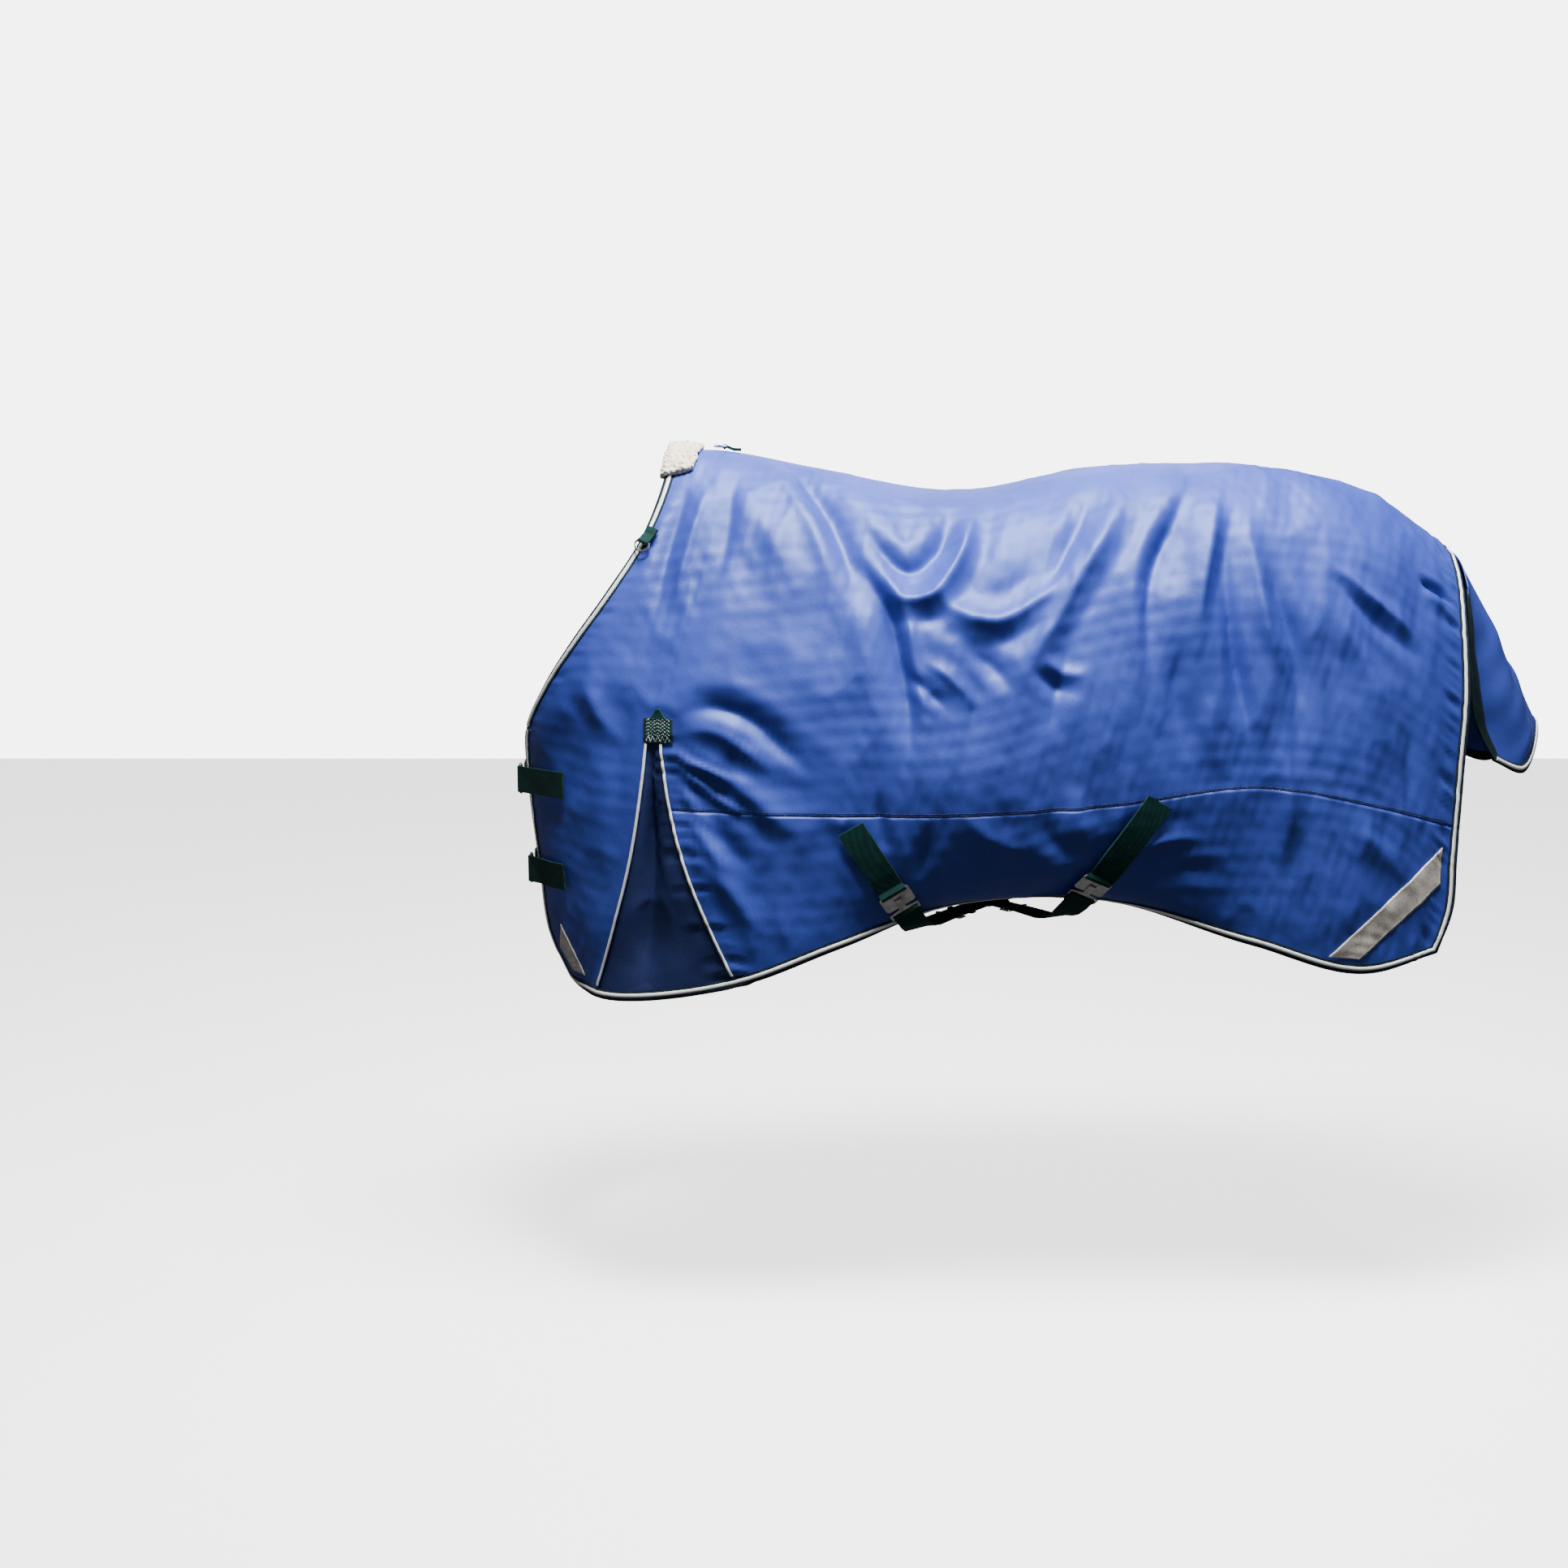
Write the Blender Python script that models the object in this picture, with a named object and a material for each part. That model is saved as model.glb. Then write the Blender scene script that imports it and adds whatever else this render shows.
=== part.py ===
"""Turnout rug in the shape it takes when worn: shell, lining, gussets, tail flap, trims and fittings.

Metres. +Z is up, +X runs towards the tail and -Y is the wearer's left side, where the fittings are done up.
The origin is the top of the withers, on the spine. Every sheet is lofted through ribs, lines that run from
its top edge to its bottom edge, and trims are laid on the same grid of points, lifted along its normals.
"""

import math

import bpy
import numpy as np
from mathutils import Vector
from mathutils.geometry import tessellate_polygon

LEFT, RIGHT = -1, 1
MM = 0.001

# Layers, measured along the outward normal from the shell's outer face
SHELL = (-2.0 * MM, 0.0)
LINING = (-4.0 * MM, -2.6 * MM)
SEAM_GAP = 0.005  # share of the way from the side seam to the hem
TAPE_CLEAR = 1.4 * MM
TAPE = 1.2 * MM
TAPE_WIDTH = 20 * MM
PIPING_WIDTH, PIPING_HEIGHT, PIPING_CLEAR = 9 * MM, 3 * MM, 1.0 * MM
PATCH = (4.2 * MM, 5.8 * MM)
FLEECE_LENGTH, FLEECE_PILE, FLEECE_CLEAR = 62 * MM, 8 * MM, 4.5 * MM

# Webbing and fittings
WEBBING = 50 * MM
NECK_WEBBING = 22 * MM
WEB = 2.2 * MM
LAYERS_APART = WEB + 0.6 * MM
WIRE, NECK_WIRE = 2.5 * MM, 2.0 * MM
SLACK = 0.4 * MM
BAR = 5 * MM
PLATE = 2 * MM
RING_REACH, NECK_RING_REACH = 28 * MM, 19 * MM
CLIP_BAR = 26 * MM
EYE_BAR = 68.5 * MM
HOOK_CENTRE = RING_REACH + 3.6 * MM
HOOK_RADIUS = 9 * MM
GATE_PIVOT = (44 * MM, 4.6 * MM)
GATE_TIP = (31.5 * MM, 7.9 * MM)

# Ribs of one half: (x, half width, z) from the spine to the hem. Half widths under 0 are past the middle.
FRONT_LEFT = [
    (-0.045, 0.0, 0.006), (-0.050, 0.045, -0.010), (-0.062, 0.085, -0.065), (-0.100, 0.135, -0.165),
    (-0.165, 0.158, -0.265), (-0.235, 0.145, -0.360), (-0.292, 0.105, -0.445), (-0.332, 0.058, -0.530),
    (-0.331, 0.045, -0.630), (-0.313, 0.045, -0.790), (-0.292, 0.060, -0.930), (-0.247, 0.100, -1.008),
]
FRONT_RIGHT = [
    (-0.045, 0.0, 0.006), (-0.050, 0.045, -0.010), (-0.062, 0.085, -0.065), (-0.100, 0.135, -0.165),
    (-0.165, 0.158, -0.265), (-0.235, 0.145, -0.360), (-0.286, 0.105, -0.440), (-0.314, 0.055, -0.505),
    (-0.320, 0.010, -0.545), (-0.314, -0.030, -0.590), (-0.303, -0.055, -0.650), (-0.288, -0.068, -0.790),
    (-0.266, -0.080, -0.920), (-0.225, -0.110, -0.992),
]
MID_LEFT = [
    (-0.012, 0.0, 0.005), (-0.016, 0.050, -0.012), (-0.032, 0.096, -0.070), (-0.075, 0.150, -0.178),
    (-0.132, 0.180, -0.293), (-0.200, 0.180, -0.397), (-0.262, 0.148, -0.490), (-0.290, 0.118, -0.560),
    (-0.297, 0.105, -0.650), (-0.285, 0.108, -0.790), (-0.266, 0.112, -0.925), (-0.232, 0.128, -1.015),
]
MID_RIGHT = [
    (-0.012, 0.0, 0.005), (-0.016, 0.050, -0.012), (-0.032, 0.096, -0.070), (-0.075, 0.150, -0.178),
    (-0.132, 0.180, -0.293), (-0.200, 0.180, -0.397), (-0.258, 0.145, -0.480), (-0.288, 0.100, -0.535),
    (-0.303, 0.066, -0.600), (-0.306, 0.053, -0.670), (-0.292, 0.050, -0.790), (-0.272, 0.040, -0.920),
    (-0.240, 0.025, -1.005),
]
CHEST = [
    (0.015, 0.0, 0.003), (0.010, 0.055, -0.014), (-0.008, 0.105, -0.075), (-0.048, 0.160, -0.190),
    (-0.100, 0.195, -0.320), (-0.165, 0.205, -0.430), (-0.225, 0.175, -0.530), (-0.245, 0.160, -0.650),
    (-0.238, 0.162, -0.790), (-0.228, 0.155, -0.920), (-0.215, 0.155, -1.018),
]
GUSSET_FRONT = [
    (0.040, 0.0, 0.002), (0.036, 0.060, -0.018), (0.020, 0.120, -0.090), (-0.010, 0.180, -0.220),
    (-0.040, 0.225, -0.360), (-0.080, 0.246, -0.500), (-0.092, 0.250, -0.600), (-0.115, 0.248, -0.740),
    (-0.150, 0.230, -0.880), (-0.190, 0.200, -1.018),
]
GUSSET_BACK = [
    (0.066, 0.0, -0.001), (0.062, 0.062, -0.020), (0.047, 0.125, -0.090), (0.020, 0.190, -0.220),
    (-0.018, 0.235, -0.360), (-0.062, 0.254, -0.500), (-0.055, 0.262, -0.600), (-0.025, 0.275, -0.740),
    (0.025, 0.283, -0.870), (0.075, 0.285, -0.978),
]
GIRTH = [
    (0.220, 0.0, -0.030), (0.220, 0.070, -0.045), (0.225, 0.160, -0.115), (0.235, 0.240, -0.260),
    (0.245, 0.285, -0.420), (0.250, 0.305, -0.580), (0.255, 0.305, -0.720), (0.265, 0.290, -0.905),
]
BARREL = [
    (0.500, 0.0, -0.073), (0.500, 0.090, -0.088), (0.500, 0.190, -0.155), (0.500, 0.270, -0.290),
    (0.500, 0.315, -0.460), (0.500, 0.325, -0.600), (0.500, 0.312, -0.710), (0.500, 0.282, -0.785),
    (0.500, 0.240, -0.826), (0.500, 0.200, -0.838),
]
LOIN = [
    (0.750, 0.0, -0.030), (0.750, 0.100, -0.045), (0.750, 0.200, -0.115), (0.750, 0.275, -0.250),
    (0.750, 0.310, -0.420), (0.750, 0.320, -0.580), (0.750, 0.308, -0.700), (0.750, 0.282, -0.775),
    (0.750, 0.246, -0.818), (0.750, 0.212, -0.830),
]
CROUP = [
    (1.020, 0.0, -0.027), (1.020, 0.110, -0.045), (1.020, 0.200, -0.120), (1.020, 0.260, -0.260),
    (1.020, 0.285, -0.430), (1.020, 0.295, -0.600), (1.020, 0.290, -0.760), (1.020, 0.280, -0.900),
]
HIP = [
    (1.260, 0.0, -0.068), (1.260, 0.090, -0.085), (1.255, 0.170, -0.155), (1.250, 0.225, -0.280),
    (1.250, 0.250, -0.430), (1.250, 0.260, -0.600), (1.250, 0.262, -0.780), (1.250, 0.258, -0.958),
]
REAR = [
    (1.440, 0.0, -0.185), (1.436, 0.060, -0.200), (1.430, 0.120, -0.245), (1.425, 0.170, -0.330),
    (1.425, 0.200, -0.450), (1.415, 0.215, -0.600), (1.407, 0.225, -0.750), (1.402, 0.230, -0.850),
    (1.375, 0.237, -0.925),
]
# Heights where each rib reaches the top of the gusset and the side seam
GUSSET_TOP = -0.53
SEAM = [-0.66, -0.66, -0.66, -0.655, -0.655, -0.66, -0.657, -0.64, -0.61, -0.652, -0.697]

# Reflective tapes by the points (x, z) of their two short edges
REFLECTIVE_REAR = [(1.378, -0.735), (1.376, -0.795)], [(1.165, -0.925), (1.222, -0.932)]
REFLECTIVE_CHEST = [(-0.262, -0.900), (-0.264, -0.940)], [(-0.212, -0.985), (-0.236, -0.982)]

# Ribs of the tail flap from the dock seam down: along the dock, halfway out and along the side edge
FLAP_CENTRE = [
    (1.448, 0.0, -0.190), (1.485, 0.0, -0.250), (1.524, 0.0, -0.324), (1.585, 0.0, -0.426), (1.633, 0.0, -0.522),
]
FLAP_MID = [
    (1.446, 0.070, -0.211), (1.476, 0.078, -0.280), (1.508, 0.086, -0.360), (1.545, 0.093, -0.480),
    (1.575, 0.095, -0.607),
]
FLAP_SIDE = [
    (1.442, 0.122, -0.252), (1.444, 0.133, -0.330), (1.448, 0.140, -0.420), (1.465, 0.144, -0.515),
    (1.500, 0.142, -0.578),
]

# Columns count ribs from the front edge. Levels: 0 spine, 1 top of the gusset, 2 side seam, 3 hem. An inset is
# the line that lies one tape width inside an edge; its number only sets its place in the order.
FRONT_INSET, REAR_INSET, HEM_INSET = 0.5, 9.75, 2.9
GUSSET_COLUMNS = (3, 4)
COLUMNS = [0, FRONT_INSET, 1, 2, 2.5, 3, 4, 4.5, 5, 5.5, 6, 6.5, 7, 7.5, 8, 8.5, 9, 9.5, REAR_INSET, 10]
UPPER_LEVELS = [0, 0.07, 0.14, 0.28, 0.42, 0.57, 0.71, 0.86, 1, 1.5, 2]
LOWER_LEVELS = [2 + SEAM_GAP, 2.33, 2.67, HEM_INSET, 3]
PAD_END = 0.14

NAVY = (0.035, 0.075, 0.300)
DEEP_NAVY = (0.012, 0.022, 0.085)
GREEN = (0.006, 0.045, 0.042)
WHITE = (0.80, 0.85, 0.86)
SILVER = (0.55, 0.52, 0.48)
CREAM = (0.82, 0.76, 0.64)
NICKEL = (0.70, 0.70, 0.68)
BLACK = (0.015, 0.015, 0.016)


def clear_scene():
    for obj in list(bpy.data.objects):
        bpy.data.objects.remove(obj)


def make_material(name, colour, roughness, metallic=0.0):
    material = bpy.data.materials.new(name)
    material.use_nodes = True
    shader = material.node_tree.nodes["Principled BSDF"]
    shader.inputs["Base Color"].default_value = (*colour, 1.0)
    shader.inputs["Roughness"].default_value = roughness
    shader.inputs["Metallic"].default_value = metallic
    return material


# Curves and lofted sheets


def unit(vector):
    return vector / np.linalg.norm(vector)


def hermite(points, position):
    """Point at a position (0 to len - 1) on the smooth curve through the points."""
    spacing = np.maximum(np.linalg.norm(np.diff(points, axis=0), axis=1), 1e-6)
    rates = np.diff(points, axis=0) / spacing[:, None]
    inner = rates[:-1] * spacing[1:, None] + rates[1:] * spacing[:-1, None]
    inner = inner / (spacing[:-1] + spacing[1:])[:, None]
    slopes = np.vstack([rates[:1], inner, rates[-1:]])
    k = min(int(position), len(points) - 2)
    f, h = position - k, spacing[k]
    return (
        (2 * f**3 - 3 * f**2 + 1) * points[k]
        + (f**3 - 2 * f**2 + f) * h * slopes[k]
        + (3 * f**2 - 2 * f**3) * points[k + 1]
        + (f**3 - f**2) * h * slopes[k + 1]
    )


def smooth_line(points, per_span=10):
    points = np.array(points, float)
    steps = np.linspace(0, len(points) - 1, (len(points) - 1) * per_span + 1)
    return np.array([hermite(points, s) for s in steps])


def travelled(line):
    return np.concatenate([[0], np.cumsum(np.linalg.norm(np.diff(line, axis=0), axis=1))])


class Loft:
    """A sheet through ribs. Each rib is a fine line with the shares of its length where its levels lie."""

    def __init__(self, lines, shares, turn, mirrored_top):
        self.turn = turn
        self.mirrored_top = mirrored_top
        self.last = len(shares[0]) - 1
        levels = np.linspace(0, self.last, 30 * self.last + 1)
        self.levels = levels
        self.ribs = []
        for line, marks in zip(lines, shares):
            along = travelled(line)
            places = np.interp(levels, range(self.last + 1), marks) * along[-1]
            self.ribs.append(np.array([np.interp(places, along, line[:, k]) for k in range(3)]).T)

    def point(self, column, level):
        step = np.interp(level, self.levels, range(len(self.levels)))
        k = min(int(step), len(self.levels) - 2)
        ribs = np.array([rib[k] + (step - k) * (rib[k + 1] - rib[k]) for rib in self.ribs])
        return hermite(ribs, column)

    def normal(self, column, level):
        """Unit normal, away from the wearer."""
        step, columns = 0.02, len(self.ribs) - 1
        a, b = self.point(max(column - step, 0), level), self.point(min(column + step, columns), level)
        c, d = self.point(column, max(level - step, 0)), self.point(column, min(level + step, self.last))
        if level == 0 and self.mirrored_top:
            c = d * (1, -1, 1)
        return unit(np.cross(b - a, d - c)) * self.turn

    def lifted(self, column, level, lift):
        return self.point(column, level) + lift * self.normal(column, level)


def make_half(side):
    """One half of the rug. The spine end of each rib is level, because its mirror image follows it."""
    ribs = [FRONT_LEFT, MID_LEFT] if side == LEFT else [FRONT_RIGHT, MID_RIGHT]
    ribs += [CHEST, GUSSET_FRONT, GUSSET_BACK, GIRTH, BARREL, LOIN, CROUP, HIP, REAR]
    lines, shares = [], []
    for points, seam in zip(ribs, SEAM):
        mirrored = (points[1][0], -points[1][1], points[1][2])
        line = smooth_line([mirrored] + points)[10:] * (1, side, 1)
        along = travelled(line)
        marks = [np.interp(-z, -line[:, 2], along) / along[-1] for z in (GUSSET_TOP, seam)]
        lines.append(line)
        shares.append([0.0, *marks, 1.0])
    return Loft(lines, shares, side, True)


def make_flap():
    sides = [(FLAP_SIDE, -1), (FLAP_MID, -1), (FLAP_CENTRE, 1), (FLAP_MID, 1), (FLAP_SIDE, 1)]
    lines = [smooth_line(points) * (1, sign, 1) for points, sign in sides]
    return Loft(lines, [[0.0, 1.0]] * len(lines), -1, False)


HALF = {LEFT: make_half(LEFT), RIGHT: make_half(RIGHT)}
FLAP = make_flap()


def spot(side, column, level):
    """Column and level of a grid point, with the insets worked out to one tape width."""
    half = HALF[side]
    if level == HEM_INSET:
        base = {FRONT_INSET: 0, REAR_INSET: 10}.get(column, column)
        level = 3 - TAPE_WIDTH / np.linalg.norm(half.point(base, 3) - half.point(base, 2))
    if column == FRONT_INSET:
        column = TAPE_WIDTH / np.linalg.norm(half.point(1, level) - half.point(0, level))
    if column == REAR_INSET:
        column = 10 - TAPE_WIDTH / np.linalg.norm(half.point(10, level) - half.point(9, level))
    return column, level


def find(side, x, z):
    """Column and level where a half passes a given x and z."""
    half = HALF[side]
    first = 0.25 if side == LEFT else 1.25
    tries = [(c, v) for c in np.arange(first, 10, 0.5) for v in np.arange(0.1, 3, 0.2)]
    gaps = [np.linalg.norm((half.point(c, v) - (x, 0, z))[[0, 2]]) for c, v in tries]
    column, level = tries[int(np.argmin(gaps))]
    step = 0.01
    for _ in range(12):
        here = half.point(column, level)
        miss = np.array([x, z]) - here[[0, 2]]
        slope = np.array([
            (half.point(min(column + step, 10), level) - here)[[0, 2]],
            (half.point(column, min(level + step, 3)) - here)[[0, 2]],
        ]).T / step
        move = np.clip(np.linalg.lstsq(slope, miss, rcond=None)[0], -0.3, 0.3)
        column = float(np.clip(column + move[0], 0, 10 - step))
        level = float(np.clip(level + move[1], 0, 3 - step))
    return column, level


# Solids


def add_object(name, vertices, faces, material):
    mesh = bpy.data.meshes.new(name)
    mesh.from_pydata([tuple(map(float, v)) for v in vertices], [], faces)
    mesh.materials.append(material)
    obj = bpy.data.objects.new(name, mesh)
    bpy.context.scene.collection.objects.link(obj)
    return obj


def signed_volume(vertices, faces):
    points = np.array(vertices, float)
    total = 0.0
    for face in faces:
        for k in range(1, len(face) - 1):
            total += np.dot(points[face[0]], np.cross(points[face[k]], points[face[k + 1]]))
    return total


def add_solid(name, vertices, faces, material):
    """Adds a closed shape, turning its faces round if it came out inside out."""
    if signed_volume(vertices, faces) < 0:
        faces = [list(reversed(face)) for face in faces]
    return add_object(name, vertices, faces, material)


def grid_solid(name, outer, inner, material, keep=lambda c, r: True, rising=lambda c, r: True):
    """Closed sheet from two grids of points, [column][row], over the cells that keep names.

    Each cell is split in two, from its first corner where rising says so, so that layers stay parallel.
    """
    columns, rows = outer.shape[:2]
    cells = {(c, r) for c in range(columns - 1) for r in range(rows - 1) if keep(c, r)}
    index, vertices, faces = {}, [], []

    def vertex(c, r, face):
        if (c, r, face) not in index:
            index[c, r, face] = len(vertices)
            vertices.append((outer, inner)[face][c, r])
        return index[c, r, face]

    for c, r in sorted(cells):
        corners = [(c, r), (c, r + 1), (c + 1, r + 1), (c + 1, r)]
        neighbours = [(c - 1, r), (c, r + 1), (c + 1, r), (c, r - 1)]
        first = 0 if rising(c, r) else 1
        ordered = corners[first:] + corners[:first]
        for half in (ordered[:3], [ordered[0], *ordered[2:]]):
            faces.append([vertex(*p, 0) for p in half])
            faces.append([vertex(*p, 1) for p in reversed(half)])
        for k, neighbour in enumerate(neighbours):
            if neighbour not in cells:
                p, q = corners[k], corners[(k + 1) % 4]
                faces.append([vertex(*q, 0), vertex(*p, 0), vertex(*p, 1), vertex(*q, 1)])
    return add_solid(name, vertices, faces, material)


def sweep(name, rings, material, closed=False):
    """Closed solid through a row of equal rings of points.

    On a folded tape, whose rings alternate inset and edge, long sides run from inset to edge.
    """
    count, size = len(rings), len(rings[0])
    vertices = [p for ring in rings for p in ring]
    faces = []
    for k in range(count if closed else count - 1):
        a, b = k * size, (k + 1) % count * size
        for i in range(size):
            j = (i + 1) % size
            if i % 4 == 2:
                faces += [[a + i, a + j, b + i], [a + j, b + j, b + i]]
            else:
                faces += [[a + i, a + j, b + j], [a + i, b + j, b + i]]
    if not closed:
        faces += [list(reversed(range(size))), [(count - 1) * size + i for i in range(size)]]
    return add_solid(name, vertices, faces, material)


# Sewn sheets


def sheet_grid(rows, columns, lift):
    """Grid of points over rows of (side, level)."""
    grid = np.zeros((len(columns), len(rows), 3))
    for c, column in enumerate(columns):
        for r, (side, level) in enumerate(rows):
            grid[c, r] = HALF[side].lifted(*spot(side, column, level), lift)
    return grid


def add_body_sheet(name, rows, layer, material, columns=COLUMNS):
    """A sheet over those rows, left open between the gusset's two edges below the gusset's top."""

    def keep(c, r):
        return columns[c] != GUSSET_COLUMNS[0] or max(rows[r][1], rows[r + 1][1]) <= 1

    def rising(c, r):
        low, high = rows[r][1], rows[r + 1][1]
        beside_edge = columns[c] == 0 or (columns[c] == REAR_INSET and min(low, high) != HEM_INSET)
        return (low < high) != beside_edge

    outer, inner = (sheet_grid(rows, columns, lift) for lift in reversed(layer))
    return grid_solid(name, outer, inner, material, keep, rising)


def both_sides(levels):
    return [(LEFT, level) for level in reversed(levels[1:])] + [(RIGHT, level) for level in levels]


def add_gusset(name, side, material):
    """The folded wedge behind the slit, level with the lining."""
    columns = [3.03, 3.33, 3.67, 3.97]
    rows = [(side, level) for level in [1.04, 1.5, 2, 2.33, 2.67, HEM_INSET, 3]]
    outer, inner = (sheet_grid(rows, columns, lift) for lift in reversed(LINING))
    return grid_solid(name, outer, inner, material)


# Trims along edges. A station is (edge point, edge normal, inset point, inset normal).


def station(side, edge, inset):
    half = HALF[side]
    edge, inset = spot(side, *edge), spot(side, *inset)
    return np.array([half.point(*edge), half.normal(*edge), half.point(*inset), half.normal(*inset)])


def neck_stations(side):
    levels = [v for v in UPPER_LEVELS if PAD_END <= v <= 1]
    found = [station(side, (0, v), (FRONT_INSET, v)) for v in levels]
    found[-1] = found[-2] + 0.98 * (found[-1] - found[-2])
    return found


def body_stations(side):
    """Down the front edge from the gusset's top level, along the hem and up the rear edge to the dock."""
    front = [station(side, (0, v), (FRONT_INSET, v)) for v in (1, 1.5, 2, 2.33, 2.67, HEM_INSET)]
    front.append(station(side, (0, 3), (FRONT_INSET, HEM_INSET)))
    hem_columns = sorted(COLUMNS[1:-1] + [3.33, 3.67])
    hem = [station(side, (c, 3), (c, HEM_INSET)) for c in hem_columns]
    rear = [station(side, (10, 3), (REAR_INSET, HEM_INSET))]
    rear_levels = (HEM_INSET, 2.67, 2.33, *reversed(UPPER_LEVELS[1:]), 0.01)
    rear += [station(side, (10, v), (REAR_INSET, v)) for v in rear_levels]
    return front + hem + rear


def folded_ring(found, low, thickness, depth):
    """Section of a tape folded over an edge: eight points round the edge of a sheet of that depth."""
    edge, edge_normal, inset, inset_normal = found
    past = unit(edge - inset)
    high = low + thickness
    return [
        inset + high * inset_normal,
        edge + high * past + high * edge_normal,
        edge + high * past - (depth + high) * edge_normal,
        inset - (depth + high) * inset_normal,
        inset - (depth + low) * inset_normal,
        edge + low * past - (depth + low) * edge_normal,
        edge + low * past + low * edge_normal,
        inset + low * inset_normal,
    ]


def add_binding(name, stations, material, depth=-LINING[0]):
    return sweep(name, [folded_ring(found, TAPE_CLEAR, TAPE, depth) for found in stations], material)


def oval(centre, across, up, width, height, corners=6):
    turns = [2 * math.pi * k / corners for k in range(corners)]
    return [centre + math.cos(a) * width / 2 * across + math.sin(a) * height / 2 * up for a in turns]


def add_piping(name, stations, material):
    """White cord in the middle of the tape."""
    lift = TAPE_CLEAR + TAPE + PIPING_CLEAR + PIPING_HEIGHT / 2
    found = list(stations[:1])
    for before, after in zip(stations, stations[1:]):
        found += [np.vstack([after[:2], before[2:]]), after]
    rings = []
    for edge, edge_normal, inset, inset_normal in found:
        up = unit(edge_normal + inset_normal)
        rings.append((edge + inset) / 2 + lift * up)
    line = np.array(rings)
    keep = [0] + [k for k in range(1, len(line)) if np.linalg.norm(line[k] - line[k - 1]) > 4 * MM]
    line, found = line[keep], [found[k] for k in keep]
    ahead = np.vstack([line[1:], line[-1:]]) - np.vstack([line[:1], line[:-1]])
    rings = []
    for point, along, (_, edge_normal, _, inset_normal) in zip(line, ahead, found):
        across = unit(np.cross(along, edge_normal + inset_normal))
        rings.append(oval(point, across, unit(np.cross(across, along)), PIPING_WIDTH, PIPING_HEIGHT))
    return sweep(name, rings, material)


def add_gusset_piping(name, side, column, neighbour, material):
    """Piping down one edge of the slit, on the shell, ending short of the hem tape."""
    lift, inset, half = 2.3 * PIPING_CLEAR + PIPING_HEIGHT / 2, 8 * MM, HALF[side]
    rings = []
    for level in (1.03, 1.5, 2, 2.33, 2.67, HEM_INSET):
        edge, up = half.point(*spot(side, column, level)), half.normal(*spot(side, column, level))
        across = unit(half.point(*spot(side, neighbour, level)) - edge)
        rings.append(oval(edge + inset * across + lift * up, across, up, PIPING_WIDTH, PIPING_HEIGHT))
    shorter = 0.85
    rings[-1] = [a + shorter * (b - a) for a, b in zip(rings[-2], rings[-1])]
    return sweep(name, rings, material)


def add_wither_pad(material):
    """Fleece folded over the neck edge across the withers."""
    stations = []
    for side, level in both_sides([v for v in UPPER_LEVELS if v <= PAD_END]):
        half = HALF[side]
        reach = FLEECE_LENGTH / np.linalg.norm(half.point(3, level) - half.point(0, level))
        edge, inner = (0, level), (3 * reach, level)
        found = [half.point(*edge), half.normal(*edge), half.point(*inner), half.normal(*inner)]
        stations.append(np.array(found))
    stations[0] = stations[1] + 0.92 * (stations[0] - stations[1])
    stations[-1] = stations[-2] + 0.92 * (stations[-1] - stations[-2])
    rings = [folded_ring(found, FLEECE_CLEAR, FLEECE_PILE, -LINING[0]) for found in stations]
    return sweep("wither_pad", rings, material)


def add_patch(name, side, start, end, material, steps=8):
    """Flat strip laid on a half between two short edges, each given as two (x, z) points."""
    grids = [np.zeros((steps + 1, 3, 3)) for _ in PATCH]
    for k in range(steps + 1):
        for j in range(3):
            a, b = (np.array(pair[0]) + j / 2 * np.subtract(pair[1], pair[0]) for pair in (start, end))
            place = find(side, *(a + k / steps * (b - a)))
            for grid, lift in zip(grids, reversed(PATCH)):
                grid[k, j] = HALF[side].lifted(*place, lift)
    return grid_solid(name, *grids, material)


# Tail flap

FLAP_COLUMNS = [0, 0.15, 0.5, 1, 1.5, 2, 2.5, 3, 3.5, 3.85, 4]
FLAP_LEVELS = [0, 0.2, 0.4, 0.6, 0.8, 0.93, 1]


def flap_station(edge, inset):
    return np.array([FLAP.point(*edge), FLAP.normal(*edge), FLAP.point(*inset), FLAP.normal(*inset)])


def add_tail_flap(shell, tape, white):
    outer, inner = (
        np.array([[FLAP.lifted(c, v, lift) for v in FLAP_LEVELS] for c in FLAP_COLUMNS])
        for lift in reversed(SHELL)
    )
    last_cell = len(FLAP_COLUMNS) - 2, len(FLAP_LEVELS) - 2

    def rising(c, r):
        return c not in (0, last_cell[0]) or (c, r) == last_cell

    grid_solid("tail_flap", outer, inner, shell, rising=rising)
    first, last = FLAP_COLUMNS[1], FLAP_COLUMNS[-2]
    bottom = FLAP_LEVELS[-2]
    near_side = [flap_station((0, v), (first, v)) for v in FLAP_LEVELS[1:-1]]
    hem = [flap_station((0, 1), (first, bottom))]
    hem += [flap_station((c, 1), (c, bottom)) for c in FLAP_COLUMNS[1:-1]]
    hem.append(flap_station((4, 1), (last, bottom)))
    far_side = [flap_station((4, v), (last, v)) for v in reversed(FLAP_LEVELS[1:-1])]
    add_binding("tail_flap_binding", near_side + hem + far_side, tape, -SHELL[0])
    add_piping("tail_flap_piping", hem, white)


# Fittings. A place has its own axes: along the webbing, out from the rug and across the webbing.


class Place:
    def __init__(self, origin, along, out):
        self.origin = np.array(origin, float)
        self.along = unit(np.array(along, float))
        self.out = unit(out - np.dot(out, self.along) * self.along)
        self.wide = np.cross(self.out, self.along)

    def at(self, s, h=0.0, w=0.0):
        return self.origin + s * self.along + h * self.out + w * self.wide

    def moved(self, s, h=0.0):
        return Place(self.at(s, h), self.along, self.out)


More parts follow.
